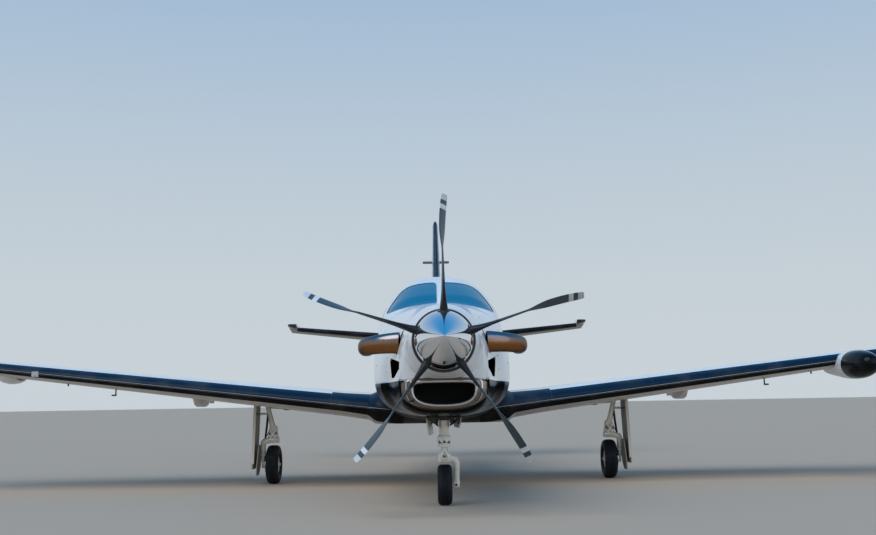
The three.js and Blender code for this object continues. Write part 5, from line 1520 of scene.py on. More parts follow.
@dataclass
class Cabin:
    """The pressure cabin: shell, door, windows and seals."""

    hull: Hull = HULL
    front: float = 2350.0
    rear: float = 7200.0
    wall: float = 38.0
    glazed: tuple[float, float] = (2960, 7140)
    window_width: float = 320.0
    window_height: float = 380.0
    window_radius: float = 110.0
    window_middle: float = 1740.0
    left_windows: tuple[float, ...] = (4350, 4950, 5480)
    right_windows: tuple[float, ...] = (4350, 4950, 5550, 6150)
    door_window: float = 6285.0
    door: tuple[float, float, float, float] = (5755, 6815, 985, 2120)
    pane: tuple[tuple[float, float], ...] = (
        (28, 1895), (150, 1892), (302, 1876), (446, 1852), (582, 1814),
        (545, 1905), (492, 2000), (424, 2107), (335, 2174), (200, 2204), (28, 2214),
    )
    cockpit: tuple[tuple[float, float], ...] = (
        (3520, 1700), (3960, 1690), (3985, 1725), (3985, 1990), (3955, 2030), (3800, 2030), (3640, 1900),
        (3515, 1760),
    )

    def side_cut(self, outline: Path, side: int, near: float = 250.0) -> Shape:
        """A prism through one side of the cabin."""
        return Shape.prism(outline, "x", *sorted((side * near, side * 800.0)))

    def window(self, station: float, shrink: float) -> Outline:
        """A passenger window's outline."""
        width, height = self.window_width - 2 * shrink, self.window_height - 2 * shrink
        return rounded(station, self.window_middle, width, height, self.window_radius - shrink)

    def cockpit_window(self, shrink: float) -> Outline:
        """The pilots' side window's outline.

        Args:
            shrink: how far its edge is moved in.

        Returns:
            Its station and height at each corner.
        """
        middle = (3780, 1850)
        moved = [(s - shrink * (s - middle[0]) / 200, z - shrink * (z - middle[1]) / 150) for s, z in self.cockpit]
        return rounded_corners(moved, 45)

    def pane_cut(self, shrink: float) -> Shape:
        """A prism through one windshield pane.

        Args:
            shrink: how far its edge is moved in.

        Returns:
            Its shape.
        """
        middle, outline = np.array([290.0, 2010.0]), []
        for corner in np.array(self.pane, float):
            way = corner - middle
            outline.append(corner - shrink * way / np.linalg.norm(way))
        return ahead_prism(rounded_corners(outline, 55), 2860, lambda z: 3390 + (z - 1820) * 1.08 - shrink)

    def side_plugs(self, shrink: float) -> Shape:
        """Prisms through every side window apart from the door's.

        Args:
            shrink: how far its edge is moved in.

        Returns:
            Their shape.
        """
        plugs = []
        for side, stations in ((1, self.left_windows), (-1, self.right_windows)):
            plugs.append(self.side_cut(self.cockpit_window(shrink), side))
            plugs += [self.side_cut(self.window(station, shrink), side) for station in stations]
        return joined(plugs)

    def panes(self, shrink: float) -> Shape:
        """Prisms through both windshield panes."""
        cut = self.pane_cut(shrink)
        return cut + cut.mirrored()

    def door_cut(self, shrink: float) -> Shape:
        """A prism through the door's opening.

        Args:
            shrink: how far its edge is moved in.

        Returns:
            Its shape.
        """
        front, rear, sill, head = self.door
        width, height = rear - front - 2 * shrink, head - sill - 2 * shrink
        return self.side_cut(rounded((front + rear) / 2, (sill + head) / 2, width, height, 110, 10), 1, 200)

    def build(self) -> None:
        """Make the shell, the door and the glazing."""
        tube = self.hull.skin(self.front, self.rear, 0, self.wall, 80)
        shell = place("cabin_skin", tube, (FUSELAGE, LINER), replaces="cabin_shell")
        for cut in (self.side_plugs(0), self.panes(0), self.door_cut(0)):
            carve(shell, cut)
        self.hull.polish(shell)
        front, rear = self.door[0] - 80, self.door[1] + 80
        leaf = kept(self.hull.skin(front, rear, 0, self.wall, 80), self.door_cut(5))
        door = place("cabin_door_panel", leaf, (FUSELAGE, LINER), "cabin_door", "cabin_door")
        carve(door, self.door_light(0))
        self.hull.polish(door)
        self.glazing()
        self.door_fittings()

    def door_light(self, shrink: float) -> Shape:
        """A prism through the door's window."""
        return self.side_cut(self.window(self.door_window, shrink), 1)

    def glazing(self) -> None:
        """Make the glass and the seals round it."""
        glass = self.hull.skin(*self.glazed, 3, 10, 60)
        seal = self.hull.skin(*self.glazed, -1.2, 14, 60)
        for name, body, nodes, plugs, trim in (
            ("side_glazing", "airframe", "side_glass_left side_glass_right", self.side_plugs, SEAL),
            ("windshield_panes", "airframe", "windshield", self.panes, PALE_SEAL),
            ("door_pane", "cabin_door", "door_glass", self.door_light, SEAL),
        ):
            self.hull.polish(place(name, kept(glass, plugs(7)), GLASS, body, nodes))
            ring = place(f"{name}_seal", kept(seal, plugs(0.4)), trim, body)
            carve(ring, plugs(8))
            self.hull.polish(ring)

    def door_fittings(self) -> None:
        """Make the door's handle and its hinges."""
        middle, z = 5870, 1420
        x = self.hull.side(middle - 10, z)
        plate = [
            [(x + dx, s, up) for s, up in rounded(middle, z, w, h, min(w, h) / 2.2)]
            for dx, w, h in ((-3, 190, 74), (1.6, 190, 74), (1.8, 184, 68))
        ]
        place("door_handle_plate", Shape.loft(plate), STEEL, "cabin_door")
        grip = [(x + dx, middle + ds, z) for dx, ds in ((2, -70), (13, -58), (15, 0), (13, 58), (2, 70))]
        place("door_handle", Shape.tube(grip, 6.5, 20), STEEL, "cabin_door")
        front, rear, head, inset = self.door[0], self.door[1], self.door[3] - 3, 230
        x = self.hull.side(front + inset, head) + 8
        for k, s in enumerate((front + inset, rear - inset), 1):
            place(f"door_hinge_{k}_fixed", Shape.tube([(x, s - 50, head), (x, s - 6.5, head)], 14, 28), STEEL)
            turning = Shape.tube([(x, s, head), (x, s + 50, head)], 14, 28)
            place(f"door_hinge_{k}_turning", turning, STEEL, "cabin_door")


@dataclass
class TailCone:
    """The rear fuselage, its two small keels and the tie-down."""

    hull: Hull = HULL
    front: float = 7200.3
    rear: float = 10300.0

    def build(self) -> None:
        """Make the cone and what hangs under it."""
        rings = [self.hull.ring(s) for s in self.hull.spots(self.front, self.rear, 80)]
        end = self.hull.ring(self.rear + 18)
        end = np.column_stack([end[:, 0] * 0.5, np.full(len(end), self.rear + 14), (end[:, 2] - 1800) * 0.5 + 1802])
        place("tail_cone_skin", Shape.loft([*rings, end]), TAIL_PAINT, replaces="tail_cone")
        keels = []
        for side in (1, -1):
            rows = []
            for t in np.linspace(0, 1, 14):
                x, half, front_z, back_z = side * (60 + 190 * t), 7 * (1 - 0.5 * t), 1500 - 320 * t, 1620 - 300 * t
                rows.append([
                    (x, 8590, front_z), (x + half * 0.8, 8604, front_z), (x + half, 8640, front_z),
                    (x + half, 9460, back_z), (x, 9504, back_z), (x - half, 9460, back_z),
                    (x - half, 8640, front_z), (x - half * 0.8, 8604, front_z),
                ])
            keels.append(Shape.loft(rows))
        place("tail_keels", joined(keels), replace(GLOSS, name="tail_fin_gloss", slot="tail_paint"))
        plate = Shape.prism(rounded(9700, 1620, 60, 120, 14), "x", -12, 12)
        place("tie_down_plate", plate, replace(STEEL, name="tie_down_steel", slot="tail_paint"))
        profile = [(0, 0), (12, -1), (22, -8), (26, -20), (26, -34), (0, -34)]
        place("tail_light", Shape.turned(profile, (0, 10346, 1803), "y", 36), CLEAR_LENS)


@dataclass
class Interior:
    """Everything seen through the glass."""

    hull: Hull = HULL
    ends: tuple[float, float] = (2960, 7120)
    liner: float = 40.0
    floor: float = 1030.0
    offset: float = 300.0
    rows: tuple[tuple[str, float, int], ...] = (
        ("front_seats", 3760, 1), ("mid_seats", 4780, -1), ("rear_seats", 5900, 1),
    )
    seat_half: float = 185.0
    crown: float = 9.0
    channel: float = 5.0

    def cushion(self, name: str, low: Spot, high: Spot, lean: float) -> None:
        """Make one stuffed cushion.

        Args:
            name: its name.
            low: its lowest corner.
            high: its highest corner.
            lean: how far its top leans aft.
        """
        low, high = np.asarray(low, float), np.asarray(high, float)
        middle, half = (low + high) / 2, (high - low) / 2
        work = bmesh.new()
        bmesh.ops.create_cube(work, size=2.0)
        bmesh.ops.subdivide_edges(work, edges=work.edges[:], cuts=11, use_grid_fill=True)
        for vert in work.verts:
            u = np.array(vert.co)
            bow = 1 - np.abs(u) ** 2.2
            spread = np.array([bow[1] * bow[2], bow[2] * bow[0], bow[0] * bow[1]])
            soft = u * (1 - 0.05 * (np.sum(np.abs(u) ** 6) - 1) / 2)
            spot = middle + soft * half + np.sign(u) * (np.abs(u) > 0.999) * spread * self.crown
            face = 2 if u[2] > 0.999 else 1
            if u[2] > 0.999 or abs(u[1]) > 0.999:
                across = abs(((u[0] * 1.5) % 1.0) - 0.5)
                spot[face] -= np.sign(u[face]) * self.channel * exp(-((across / 0.05) ** 2))
            spot[1] += lean * (u[2] + 1) / 2
            vert.co = (spot - TIP) * MM
        mesh = bpy.data.meshes.new(name)
        work.to_mesh(mesh)
        work.free()
        piece = in_scene(name, mesh)
        mesh.materials.append(LEATHER.material())
        smooth(piece, 50)
        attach(piece, "airframe")
        LOG.info("%s: %d faces", name, len(mesh.polygons))

    def seats(self, name: str, station: float, facing: int) -> None:
        """Make a pair of seats.

        Args:
            name: the frame's node.
            station: the middle of the seats.
            facing: 1 where the backs are aft.
        """
        half, back, rails = self.seat_half, station + facing * 215, []
        for side, word in ((-1, "right"), (1, "left")):
            x = side * self.offset
            self.cushion(
                f"{name}_{word}_cushion", (x - half, station - 225, 1248), (x + half, station + 225, 1362), 0,
            )
            self.cushion(
                f"{name}_{word}_back", (x - half, back - 50, 1352), (x + half, back + 50, 1850), facing * 128,
            )
            rails.append(Shape.loft([
                [
                    (x + dx * size, station + ds * size, z)
                    for dx, ds in ((-86, -124), (86, -124), (86, 124), (-86, 124))
                ]
                for size, z in ((1, self.floor + 1), (0.8, 1246))
            ]))
        frame_paint = replace(DARK_PARTS, name="seat_frame", slot="cabin_leather")
        place(f"{name}_frames", joined(rails), frame_paint, replaces=name)

    def build(self) -> None:
        """Make the floor, the seats and the panel."""
        form = Shape.loft([self.hull.ring(s, self.liner) for s in self.hull.spots(*self.ends, 150)])
        slab = kept(form, Shape.slab((-700, 2950, self.floor - 29), (700, 7130, self.floor)))
        place("cabin_carpet", slab, CARPET, replaces="cabin_floor", angle=20)
        profile = [(2992, 1332), (3058, 1332), (3148, 1560), (3188, 1768), (3160, 1798), (2992, 1810)]
        hood = kept(form, Shape.prism(rounded_corners(profile, 18), "x", -700, 700))
        place("panel_hood", hood, PANEL_BLACK, replaces="instrument_panel", angle=30)
        screens = [
            Shape.loft([
                [
                    (x + dx, 3176 - (1690 - z) * 0.19 + deep, z) for dx, z in rounded(0, 1655, 270, 170, 12)
                ] for deep in (0, 9)
            ])
            for x in (-330, 0, 330)
        ]
        place("panel_screens", joined(screens), SCREEN)
        horn = ((-120, 3290, 1600), (-128, 3305, 1550), (-80, 3310, 1520), (0, 3308, 1522))
        horn = (*horn, *((-dx, s, z) for dx, s, z in horn[2::-1]))
        yokes = []
        for x in (-300, 300):
            yokes.append(Shape.tube([(x, 3150, 1520), (x, 3300, 1530)], 12, 20))
            yokes.append(Shape.tube([(x + dx, s, z) for dx, s, z in horn], 13, 20))
        place("control_yokes", joined(yokes), replace(DARK_PARTS, name="yoke_plastic", slot="black_gloss"))
        for row in self.rows:
            self.seats(*row)


@dataclass(frozen=True)
class Surface:
    """A wing's or stabiliser's sizes: angles in degrees, thicknesses as shares of the chord."""

    height: float
    dihedral: float
    incidence: float
    root_span: float
    tip_span: float
    chords: tuple[float, float]
    leads: tuple[float, float]
    thicknesses: tuple[float, float]
    camber: float = 0.0
    flare_from: float = 0.0

    def at(self, span: float) -> tuple[float, float, float]:
        """The chord, leading edge and thickness at a span."""
        t = span / self.tip_span
        return tuple(a + (b - a) * t for a, b in (self.chords, self.leads, self.thicknesses))

    def point(self, span: float, fraction: float, height: float) -> np.ndarray:
        """A place on the surface.

        Args:
            span: distance out along it.
            fraction: distance back along the chord.
            height: distance off the chord.

        Returns:
            The point.
        """
        chord, lead, _ = self.at(span)
        tilt, rise = radians(self.incidence), radians(self.dihedral)
        back = (fraction - 0.25) * chord
        up = height * cos(tilt) - back * sin(tilt)
        station = lead + 0.25 * chord + back * cos(tilt) + height * sin(tilt)
        return np.array(
            [span * cos(rise) - up * sin(rise), station, self.height + span * sin(rise) + up * cos(rise)]
        )

    def middle(self, span: float, fraction: float) -> float:
        """The camber line's height."""
        return self.camber * 4 * fraction * (1 - fraction) * self.at(span)[0]

    def half(self, span: float, fraction: float) -> float:
        """Half the thickness at a place."""
        chord, _, thickness = self.at(span)
        return airfoil(fraction, thickness * chord)

    def skin(
        self, span: float, fractions: Sequence[float], side: int, thin: float = 1.0, trim: float = 0.0,
    ) -> list[np.ndarray]:
        """A run of points over one side.

        Args:
            span: where along the span.
            fractions: where along the chord.
            side: 1 for the upper side and -1 for the lower.
            thin: how much of the thickness it has.
            trim: how much of the nose is cut away.

        Returns:
            The points.
        """
        flare = min(max(0.0, (self.flare_from - span) / 140.0) ** 2, 1.2)
        run = []
        for fraction in fractions:
            f = trim + fraction * (1 - trim)
            thick = self.half(span, f) * thin * (0.0 if fraction == 0 else 1.0)
            height = self.middle(span, f) + side * thick * (1 + 0.3 * flare)
            run.append(self.point(span, f - 0.05 * flare * (1 - f), height))
        return run

    def hinge(self, fraction: float, span: float) -> np.ndarray:
        """A place on a hinge line."""
        return self.point(span, fraction, self.middle(span, fraction))

    def arc(self, span: float, hinge: float, grow: float, count: int) -> list[np.ndarray]:
        """A half round ahead of a hinge.

        Args:
            span: where along the span.
            hinge: the hinge's share of the chord.
            grow: how much wider it is than the surface there.
            count: how many steps it has.

        Returns:
            The points, from the lower side up.
        """
        radius = self.half(span, hinge) + grow
        centre, chord = self.middle(span, hinge), self.at(span)[0]
        angles = [-pi / 2 - pi * k / count for k in range(count + 1)]
        return [self.point(span, hinge + radius * cos(a) / chord, centre + radius * sin(a)) for a in angles]


WHOLE = tuple(0.5 * (1 - cos(pi * k / 30)) for k in range(31))


@dataclass
class LiftingSide:
    """One wing or stabiliser with its hinged parts, built on the left and mirrored for the right."""

    form: Surface
    nose_gap: float = 1.5

    def full_ring(self, span: float, thin: float = 1.0, trim: float = 0.0) -> list[np.ndarray]:
        """A whole section."""
        upper = self.form.skin(span, WHOLE, 1, thin, trim)
        return upper + self.form.skin(span, WHOLE[1:][::-1], -1, thin, trim)

    def cut_ring(self, span: float, hinge: float, gap: float) -> list[np.ndarray]:
        """A section that ends in a hollow for a hinged part.

        Args:
            span: the distance from the centre line.
            hinge: the hinge's share of the chord.
            gap: the room between the two parts.

        Returns:
            Its points.
        """
        reach = (self.form.half(span, hinge) + gap) / self.form.at(span)[0]
        end = hinge - 0.12 * reach
        fractions = [f * end / WHOLE[22] for f in WHOLE[:23]]
        lower = [f * (hinge - 0.36 * reach) / end for f in fractions[1:][::-1]]
        cove = self.form.arc(span, hinge, gap, 14)[::-1][1:-2]
        return self.form.skin(span, fractions, 1) + cove + self.form.skin(span, lower, -1)

    def moving_ring(self, span: float, hinge: float) -> list[np.ndarray]:
        """A section of a hinged part.

        Args:
            span: the distance from the centre line.
            hinge: the hinge's share of the chord.

        Returns:
            Its points.
        """
        fractions = [hinge + (1 - hinge) * f for f in (0.12, 0.28, 0.46, 0.66, 0.85, 1.0)]
        upper, lower = self.form.skin(span, fractions, 1), self.form.skin(span, fractions[::-1], -1)
        return self.form.arc(span, hinge, -self.nose_gap, 16) + upper + lower

    def stretch(
        self, low: float, high: float, maker: Callable[[float], list[np.ndarray]], step: float = 300,
    ) -> Shape:
        """Loft sections between two spans."""
        return Shape.loft([maker(span) for span in np.linspace(low, high, max(2, ceil((high - low) / step) + 1))])

    def tip(self, start: float) -> Shape:
        """The rounded end.

        Args:
            start: the span where it begins.

        Returns:
            Its shape.
        """
        rings = []
        for u in np.linspace(0, pi / 2, 11):
            span = start + (self.form.tip_span - start) * sin(u)
            rings.append(self.full_ring(span, max(cos(u), 0.06), 0.09 * (1 - cos(u))))
        return Shape.loft(rings)


@dataclass
class Wings:
    """Both wings, with flaps, ailerons, lights, masts and pads."""

    form: Surface = Surface(745, 6.8, 2, 400, 6383, (1950, 900), (3500, 3800), (0.16, 0.146), 0.018, 860.0)
    # Each hinged part: hinge as a share of the chord, inner and outer span, and the gap beside it.
    flap: tuple[float, float, float, float] = (0.73, 810, 4770, 12)
    aileron: tuple[float, float, float, float] = (0.74, 4830, 6200, 8)
    cove_gap: float = 6.0
    tip_length: float = 130.0
    flat_belly: float = 672.0
    flat_to: float = 900.0
    # The flap tracks' fairings: station, lowest height, half widths above and below.
    track: Rows = (
        (4090, 978, 30, 14), (4160, 936, 62, 30), (4260, 902, 84, 42), (4400, 887, 90, 46), (4540, 894, 86, 42),
        (4640, 912, 76, 36),
    )

    def half_wing(self) -> Shape:
        """The fixed part of the left wing.

        Returns:
            Its shape.
        """
        side, root, tip = LiftingSide(self.form), self.form.root_span, self.form.tip_span - self.tip_length
        parts = []
        for (hinge, start, end, gap), step in ((self.flap, 40), (self.aileron, 60)):
            parts.append(side.stretch(root, start - gap, side.full_ring, step))
            parts.append(
                side.stretch(start - gap, end + gap, lambda span: side.cut_ring(span, hinge, self.cove_gap))
            )
            root = end + gap
        wing = joined([*parts, side.stretch(root, tip, side.full_ring, 60), side.tip(tip)])
        inner = wing.points[:, 0] < self.flat_to
        wing.points[inner, 2] = np.maximum(wing.points[inner, 2], self.flat_belly)
        return wing

    def build(self) -> None:
        """Make both wings and what they carry."""
        pocket = Shape.slab((1880, 4180, 700), (2100, 4560, 960))
        pieces = place_pair("wing_{}_skin", self.half_wing(), WING_PAINT, replaces="wing_{}")
        for piece, cut in zip(pieces, (pocket, pocket.mirrored())):
            carve(piece, cut)
            smooth(piece)
        roof = Shape.slab((1884, 4184, 944), (2096, 4556, 956))
        # The wheel-well roofs are near-black painted shade.
        place("gear_bay_roofs", roof + roof.mirrored(), RECESS_SHADE)
        side = LiftingSide(self.form)
        for name, (hinge, start, end, _) in (("flap_{}", self.flap), ("aileron_{}", self.aileron)):
            moving = side.stretch(start, end, lambda span: side.moving_ring(span, hinge))
            place_pair(f"{name}_skin", moving, MOVING_PAINT, name, name)
        self.belly()
        self.details()
        self.underwing()

    def belly(self) -> None:
        """Fair the wings' roots together under the cabin."""
        reach = self.form.root_span
        root = np.array(LiftingSide(self.form).full_ring(reach))
        rows = []
        for x in np.linspace(-reach, reach, 17):
            across, low = x + (root[:, 0] - reach) * (x / reach), np.maximum(root[:, 2], self.flat_belly)
            rows.append(np.column_stack([across, root[:, 1], low]))
        dark = replace(WING_PAINT, name="belly_black", layers=(Layer(axis_band("y", -9, 9), BLACK, 0.3),), seams=())
        place("belly_fairing", Shape.loft(rows), dark)

    def details(self) -> None:
        """Make the lights, pads, wicks and the bulge on the right wing."""
        ball = Shape.turned([(sin(a), -cos(a)) for a in np.linspace(0, pi, 20)], (0, 0, 0), "y", 40)
        tinted = replace(
            GLOSS, name="bulge_paint",
            layers=(Layer(axis_band("x", -4.762, -4.0, 0.006), (0.2, 0.06, 0.06), 0.25),),
        )
        place("wing_bulge", ball.scaled((130, 300, 90), (-4865, 4190, 1270)), tinted)
        pad = Shape.turned([(0, 925), (24, 925), (24, 990), (0, 990)], (2620, 4300, 0), "z", 40)
        place("jack_pads", pad + pad.mirrored(), CREAM)
        lamp = self.lamp(self.form.tip_span - 60)
        place("tip_light_left", lamp, RED_LENS)
        place("tip_light_right", lamp.mirrored(), GREEN_LENS)
        wicks = []
        for span in (5000, 5400, 5800, 6150):
            start = self.form.hinge(0.995, span)
            path = [start + np.array(step) for step in ((0, 0, 0), (0, 60, -2), (0, 120, -5))]
            wicks.append(Shape.tube(path, [3, 2.4, 1.6], 12))
        grey = replace(GREY_PLASTIC, name="wick_grey", colour=(0.05, 0.05, 0.05))
        place_pair("aileron_wicks_{}", joined(wicks), grey, "aileron_{}")

    def underwing(self) -> None:
        """Make the flap track fairings, masts, bent probes and the lift sensor."""
        rings, spots = [], np.linspace(self.track[0][0], self.track[-1][0], 23)
        for station, (low, wide, narrow) in zip(spots, Curve(self.track).at(spots)):
            outline = rounded_corners([(-wide, 1040), (-narrow, low), (narrow, low), (wide, 1040)], 12)
            rings.append([(2765 + x, station, z) for x, z in outline])
        track = Shape.loft(rings)
        pale = replace(GLOSS, name="fairing_paint", colour=(0.66, 0.64, 0.6), coat=0.1)
        place("flap_track_fairings", track + track.mirrored(), pale)
        masts, (across, up) = [], circle(20)
        for x, station, low, high, half, reach in (
            (4150, 3960, 1140, 1230, 5, 20), (3610, 3930, 1024, 1180, 6, 16),
        ):
            oval = [x + half * across, station + reach * up]
            masts.append(Shape.loft([np.column_stack([*oval, np.full(20, z)]) for z in (low, high)]))
        probe = [(3610, s, z) for s, z in ((3938, 1034), (3920, 1031), (3860, 1030), (3796, 1030), (3790, 1030))]
        masts.append(Shape.tube(probe, [8, 9, 9, 8, 5], 20))
        masts.append(Shape.tube([(2050, 4700, 868), (1860, 4700, 852)], 9, 16))
        masts.append(Shape.tube([(1860, 4700, 852), (1820, 4700, 850), (1740, 4700, 842)], [16, 20, 8], 16))
        form = joined(masts)
        place("underwing_masts", form + form.mirrored(), DARK_PARTS)
        box = Shape.prism(rounded(-4427, 1272, 72, 58, 12), "y", 3696, 3770)
        vane = Shape.slab((-4432, 3676, 1250), (-4424, 3706, 1262))
        grey = replace(GREY_PLASTIC, name="sensor_grey", slot="white_paint", colour=(0.4, 0.41, 0.42))
        place("lift_sensor", box + vane, grey)

    def lamp(self, span: float) -> Shape:
        """A teardrop lamp faired into the wing's tip.

        Args:
            span: the distance from the centre line.

        Returns:
            Its shape.
        """
        rings, (across, up) = [], circle(24)
        for u in np.linspace(0, 1, 12):
            x, station, z = self.form.hinge(0.16 + 0.2 * u, span)
            size = 17 * sin(pi * min(0.06 + 0.9 * u, 1.0)) ** 0.6
            rings.append(np.column_stack([x + 46 + size * 1.1 * across, np.full(24, station), z + size * up]))
        return Shape.loft(rings)


@dataclass
class Tail:
    """The stabilisers and elevators."""

    form: Surface = Surface(1884, 6, 0, 92, 2495, (1200, 700), (8980, 9430), (0.128, 0.122))
    hinge: float = 0.68
    inner: float = 250.0
    horn: float = 2325.0
    gap: float = 8.0
    cove_gap: float = 6.0
    tip_length: float = 120.0
    droop: float = radians(7.5)

    def build(self) -> None:
        """Make both stabilisers and elevators."""
        side, form, inner, horn, gap = LiftingSide(self.form), self.form, self.inner, self.horn, self.gap
        cut = side.stretch(inner - gap, horn - gap, lambda span: side.cut_ring(span, self.hinge, self.cove_gap))
        fixed = side.stretch(form.root_span, inner - gap, side.full_ring, 60) + cut
        moving = side.stretch(inner, horn, lambda span: side.moving_ring(span, self.hinge))
        tip = form.tip_span - self.tip_length
        moving = moving + side.stretch(horn, tip, side.full_ring, 30) + side.tip(tip)
        ends = form.hinge(self.hinge, inner), form.hinge(self.hinge, form.tip_span)
        boot = Layer(both(axis_band("y", -9, 4.18), self.beyond(2.318)), BLACK, 0.3)
        moving_paint = replace(STAB_PAINT, name="elevator_paint", layers=(STAB_UNDERSIDE_SHADE, boot))
        place_pair("stabiliser_{}_skin", fixed, STAB_PAINT, replaces="stabiliser_{}")
        place_pair(
            "elevator_{}_skin", moving.turned_about(*ends, -self.droop), moving_paint, "elevator_{}", "elevator_{}",
        )

    def beyond(self, span: float) -> Mask:
        """What lies further out than a span."""
        return lambda g, a: g.step(g.math("ABSOLUTE", a.x), span - 0.002, span)


@dataclass
class Fin:
    """The fin, its dorsal strip, the rudder and the antenna."""

    # Height, leading edge and chord at the foot and at the top; the rudder's heights and hinge stations.
    foot: tuple[float, float, float] = (1830, 8480, 1960)
    top: tuple[float, float, float] = (3975, 9800, 840)
    thickness: float = 0.112
    cap_height: float = 90.0
    cove_gap: float = 6.0
    nose_gap: float = 2.0
    rudder: tuple[float, float, float, float] = (1945, 3850, 10040, 10330)

    def at(self, z: float) -> tuple[float, float]:
        """The leading edge and chord at a height."""
        t = (z - self.foot[0]) / (self.top[0] - self.foot[0])
        return self.foot[1] + (self.top[1] - self.foot[1]) * t, self.foot[2] + (self.top[2] - self.foot[2]) * t

    def hinge(self, z: float) -> float:
        """The rudder hinge's station at a height."""
        low, high, first, last = self.rudder
        return first + (last - first) * (z - low) / (high - low)

    def half(self, z: float, fraction: float) -> float:
        """Half the thickness."""
        return airfoil(fraction, self.thickness * self.at(z)[1])

    def ring(self, z: float, end: float | None, thin: float = 1.0, trim: float = 0.0) -> Path:
        """A section, whole or ending in a hollow for the rudder.

        Args:
            z: its height.
            end: the room round the rudder's nose, or None for a whole section.
            thin: how much of the thickness it has.
            trim: how much of the nose is cut away.

        Returns:
            The points.
        """
        lead, chord = self.at(z)
        reach = 1.0 if end is None else (self.hinge(z) - lead) / chord - 0.004
        fractions = [trim + f * (reach - trim) for f in WHOLE]
        right = [(self.half(z, f) * thin * (k > 0), lead + f * chord, z) for k, f in enumerate(fractions)]
        hollow = []
        if end is not None:
            radius = self.half(z, reach) + end
            angles = [pi / 2 + pi * k / 12 for k in range(1, 12)]
            hollow = [(radius * sin(a), self.hinge(z) + radius * cos(a), z) for a in angles]
        return right + hollow + [(-x, s, z) for x, s, z in right[1:][::-1]]

    def build(self) -> None:
        """Make the fin and what it carries."""
        low, high, _, _ = self.rudder
        foot = Shape.loft([self.ring(z, None) for z in (1790, low - 10)])
        body = Shape.loft([self.ring(z, self.cove_gap) for z in np.linspace(low - 10, high + 10, 12)])
        rows = [self.ring(high + 10, None)]
        for u in np.linspace(0, pi / 2, 9):
            z = self.top[0] - self.cap_height + self.cap_height * sin(u)
            rows.append(self.ring(z, None, max(cos(u), 0.07), 0.1 * (1 - cos(u))))
        place("fin_skin", joined([foot, body, Shape.loft(rows), self.dorsal()]), FIN_PAINT, replaces="fin")
        rudder = Shape.loft([self.rudder_ring(z) for z in np.linspace(low, high, 10)])
        place(
            "rudder_skin", rudder, replace(MOVING_PAINT, name="rudder_paint", slot="tail_paint"), "rudder",
            "rudder",
        )
        sleeve = [(0, -222), (12, -222), (18, -216), (21, -206)]
        sleeve += [(radius, -offset) for radius, offset in sleeve[::-1]]
        place("antenna_bar", Shape.turned(sleeve, (0, 9640, 3232), "x", 40), GREY_PLASTIC, replaces="nav_antenna")
        beacon = [(0, 3968), (30, 3968), (30, 3985), (26, 3998), (14, 4006), (0, 4008)]
        place("fin_beacon", Shape.turned(beacon, (0, 10230, 0), "z", 36), RED_LENS)

    def rudder_ring(self, z: float) -> Path:
        """A section of the rudder.

        Args:
            z: the section's height.

        Returns:
            Its points.
        """
        lead, chord = self.at(z)
        reach = (self.hinge(z) - lead) / chord
        radius = self.half(z, reach) - self.nose_gap
        nose = [(radius * sin(a), self.hinge(z) + radius * cos(a), z) for a in np.linspace(-pi / 2, -1.5 * pi, 17)]
        shares = [reach + (1 - reach) * f for f in (0.2, 0.45, 0.75, 1.0)]
        right = [(self.half(z, f), lead + f * chord, z) for f in shares]
        return nose + right + [(-x, s, z) for x, s, z in right[::-1]]

    def dorsal(self) -> Shape:
        """The low strip that leads up to the fin.

        Returns:
            Its shape.
        """
        rows = []
        for s in np.linspace(7500, 9150, 30):
            t = (s - 7500) / 1450
            top, base, half = 2150 + 370 * t, 2050 - 120 * t, 3 + 13 * min(1.0, t * 6)
            crown = ((1, 26), (0.92, 12), (0.6, 4), (0, 0), (-0.6, 4), (-0.92, 12), (-1, 26))
            arch = [(half * share, s, top - drop) for share, drop in crown]
            rows.append(arch + [(-half * 1.4, s, base), (half * 1.4, s, base)])
        return Shape.loft(rows)


@dataclass
class RadarPod:
    """The radar pod on the left wing."""

    x: float = 4500.0
    z: float = 1224.0
    # Sections: station, half width, half height and, for the body, the height of the middle.
    body_rows: Rows = (
        (3560, 172, 155, 1224), (3720, 165, 150, 1224), (4000, 128, 118, 1222), (4280, 86, 74, 1214),
        (4420, 40, 36, 1207), (4470, 10, 8, 1204),
    )
    nose_rows: Rows = (
        (3132, 2, 2), (3134, 25, 21), (3142, 48, 43), (3160, 77, 70), (3200, 108, 98), (3270, 136, 123),
        (3360, 157, 142), (3460, 168, 152), (3557, 171, 154),
    )

    def oval(self, station: float, half: float, high: float, z: float) -> np.ndarray:
        """One oval section."""
        across, up = circle(72)
        return np.column_stack([self.x + half * across, np.full(72, station), z + high * up])

    def build(self) -> None:
        """Make the pod's body, its seam and the radome."""
        spots = np.concatenate([np.linspace(3560, 4280, 26), np.linspace(4300, 4470, 14)])
        body = [self.oval(s, *row) for s, row in zip(spots, Curve(self.body_rows).at(spots))]
        seam = replace(
            GLOSS, name="pod_paint", seams=(seam_at("y", -1.62, width=0.002), rivets_at("y", "z", -1.74, -1.6)),
        )
        place("pod_body", Shape.loft(body), seam, replaces="radar_pod")
        spots = np.concatenate([[3132, 3133, 3136], np.linspace(3142, 3200, 10), np.linspace(3212, 3557, 24)])
        nose = [self.oval(s, half, high, self.z) for s, (half, high) in zip(spots, Curve(self.nose_rows).at(spots))]
        place("pod_radome", Shape.loft(nose), RADOME_BLACK, replaces="radome")


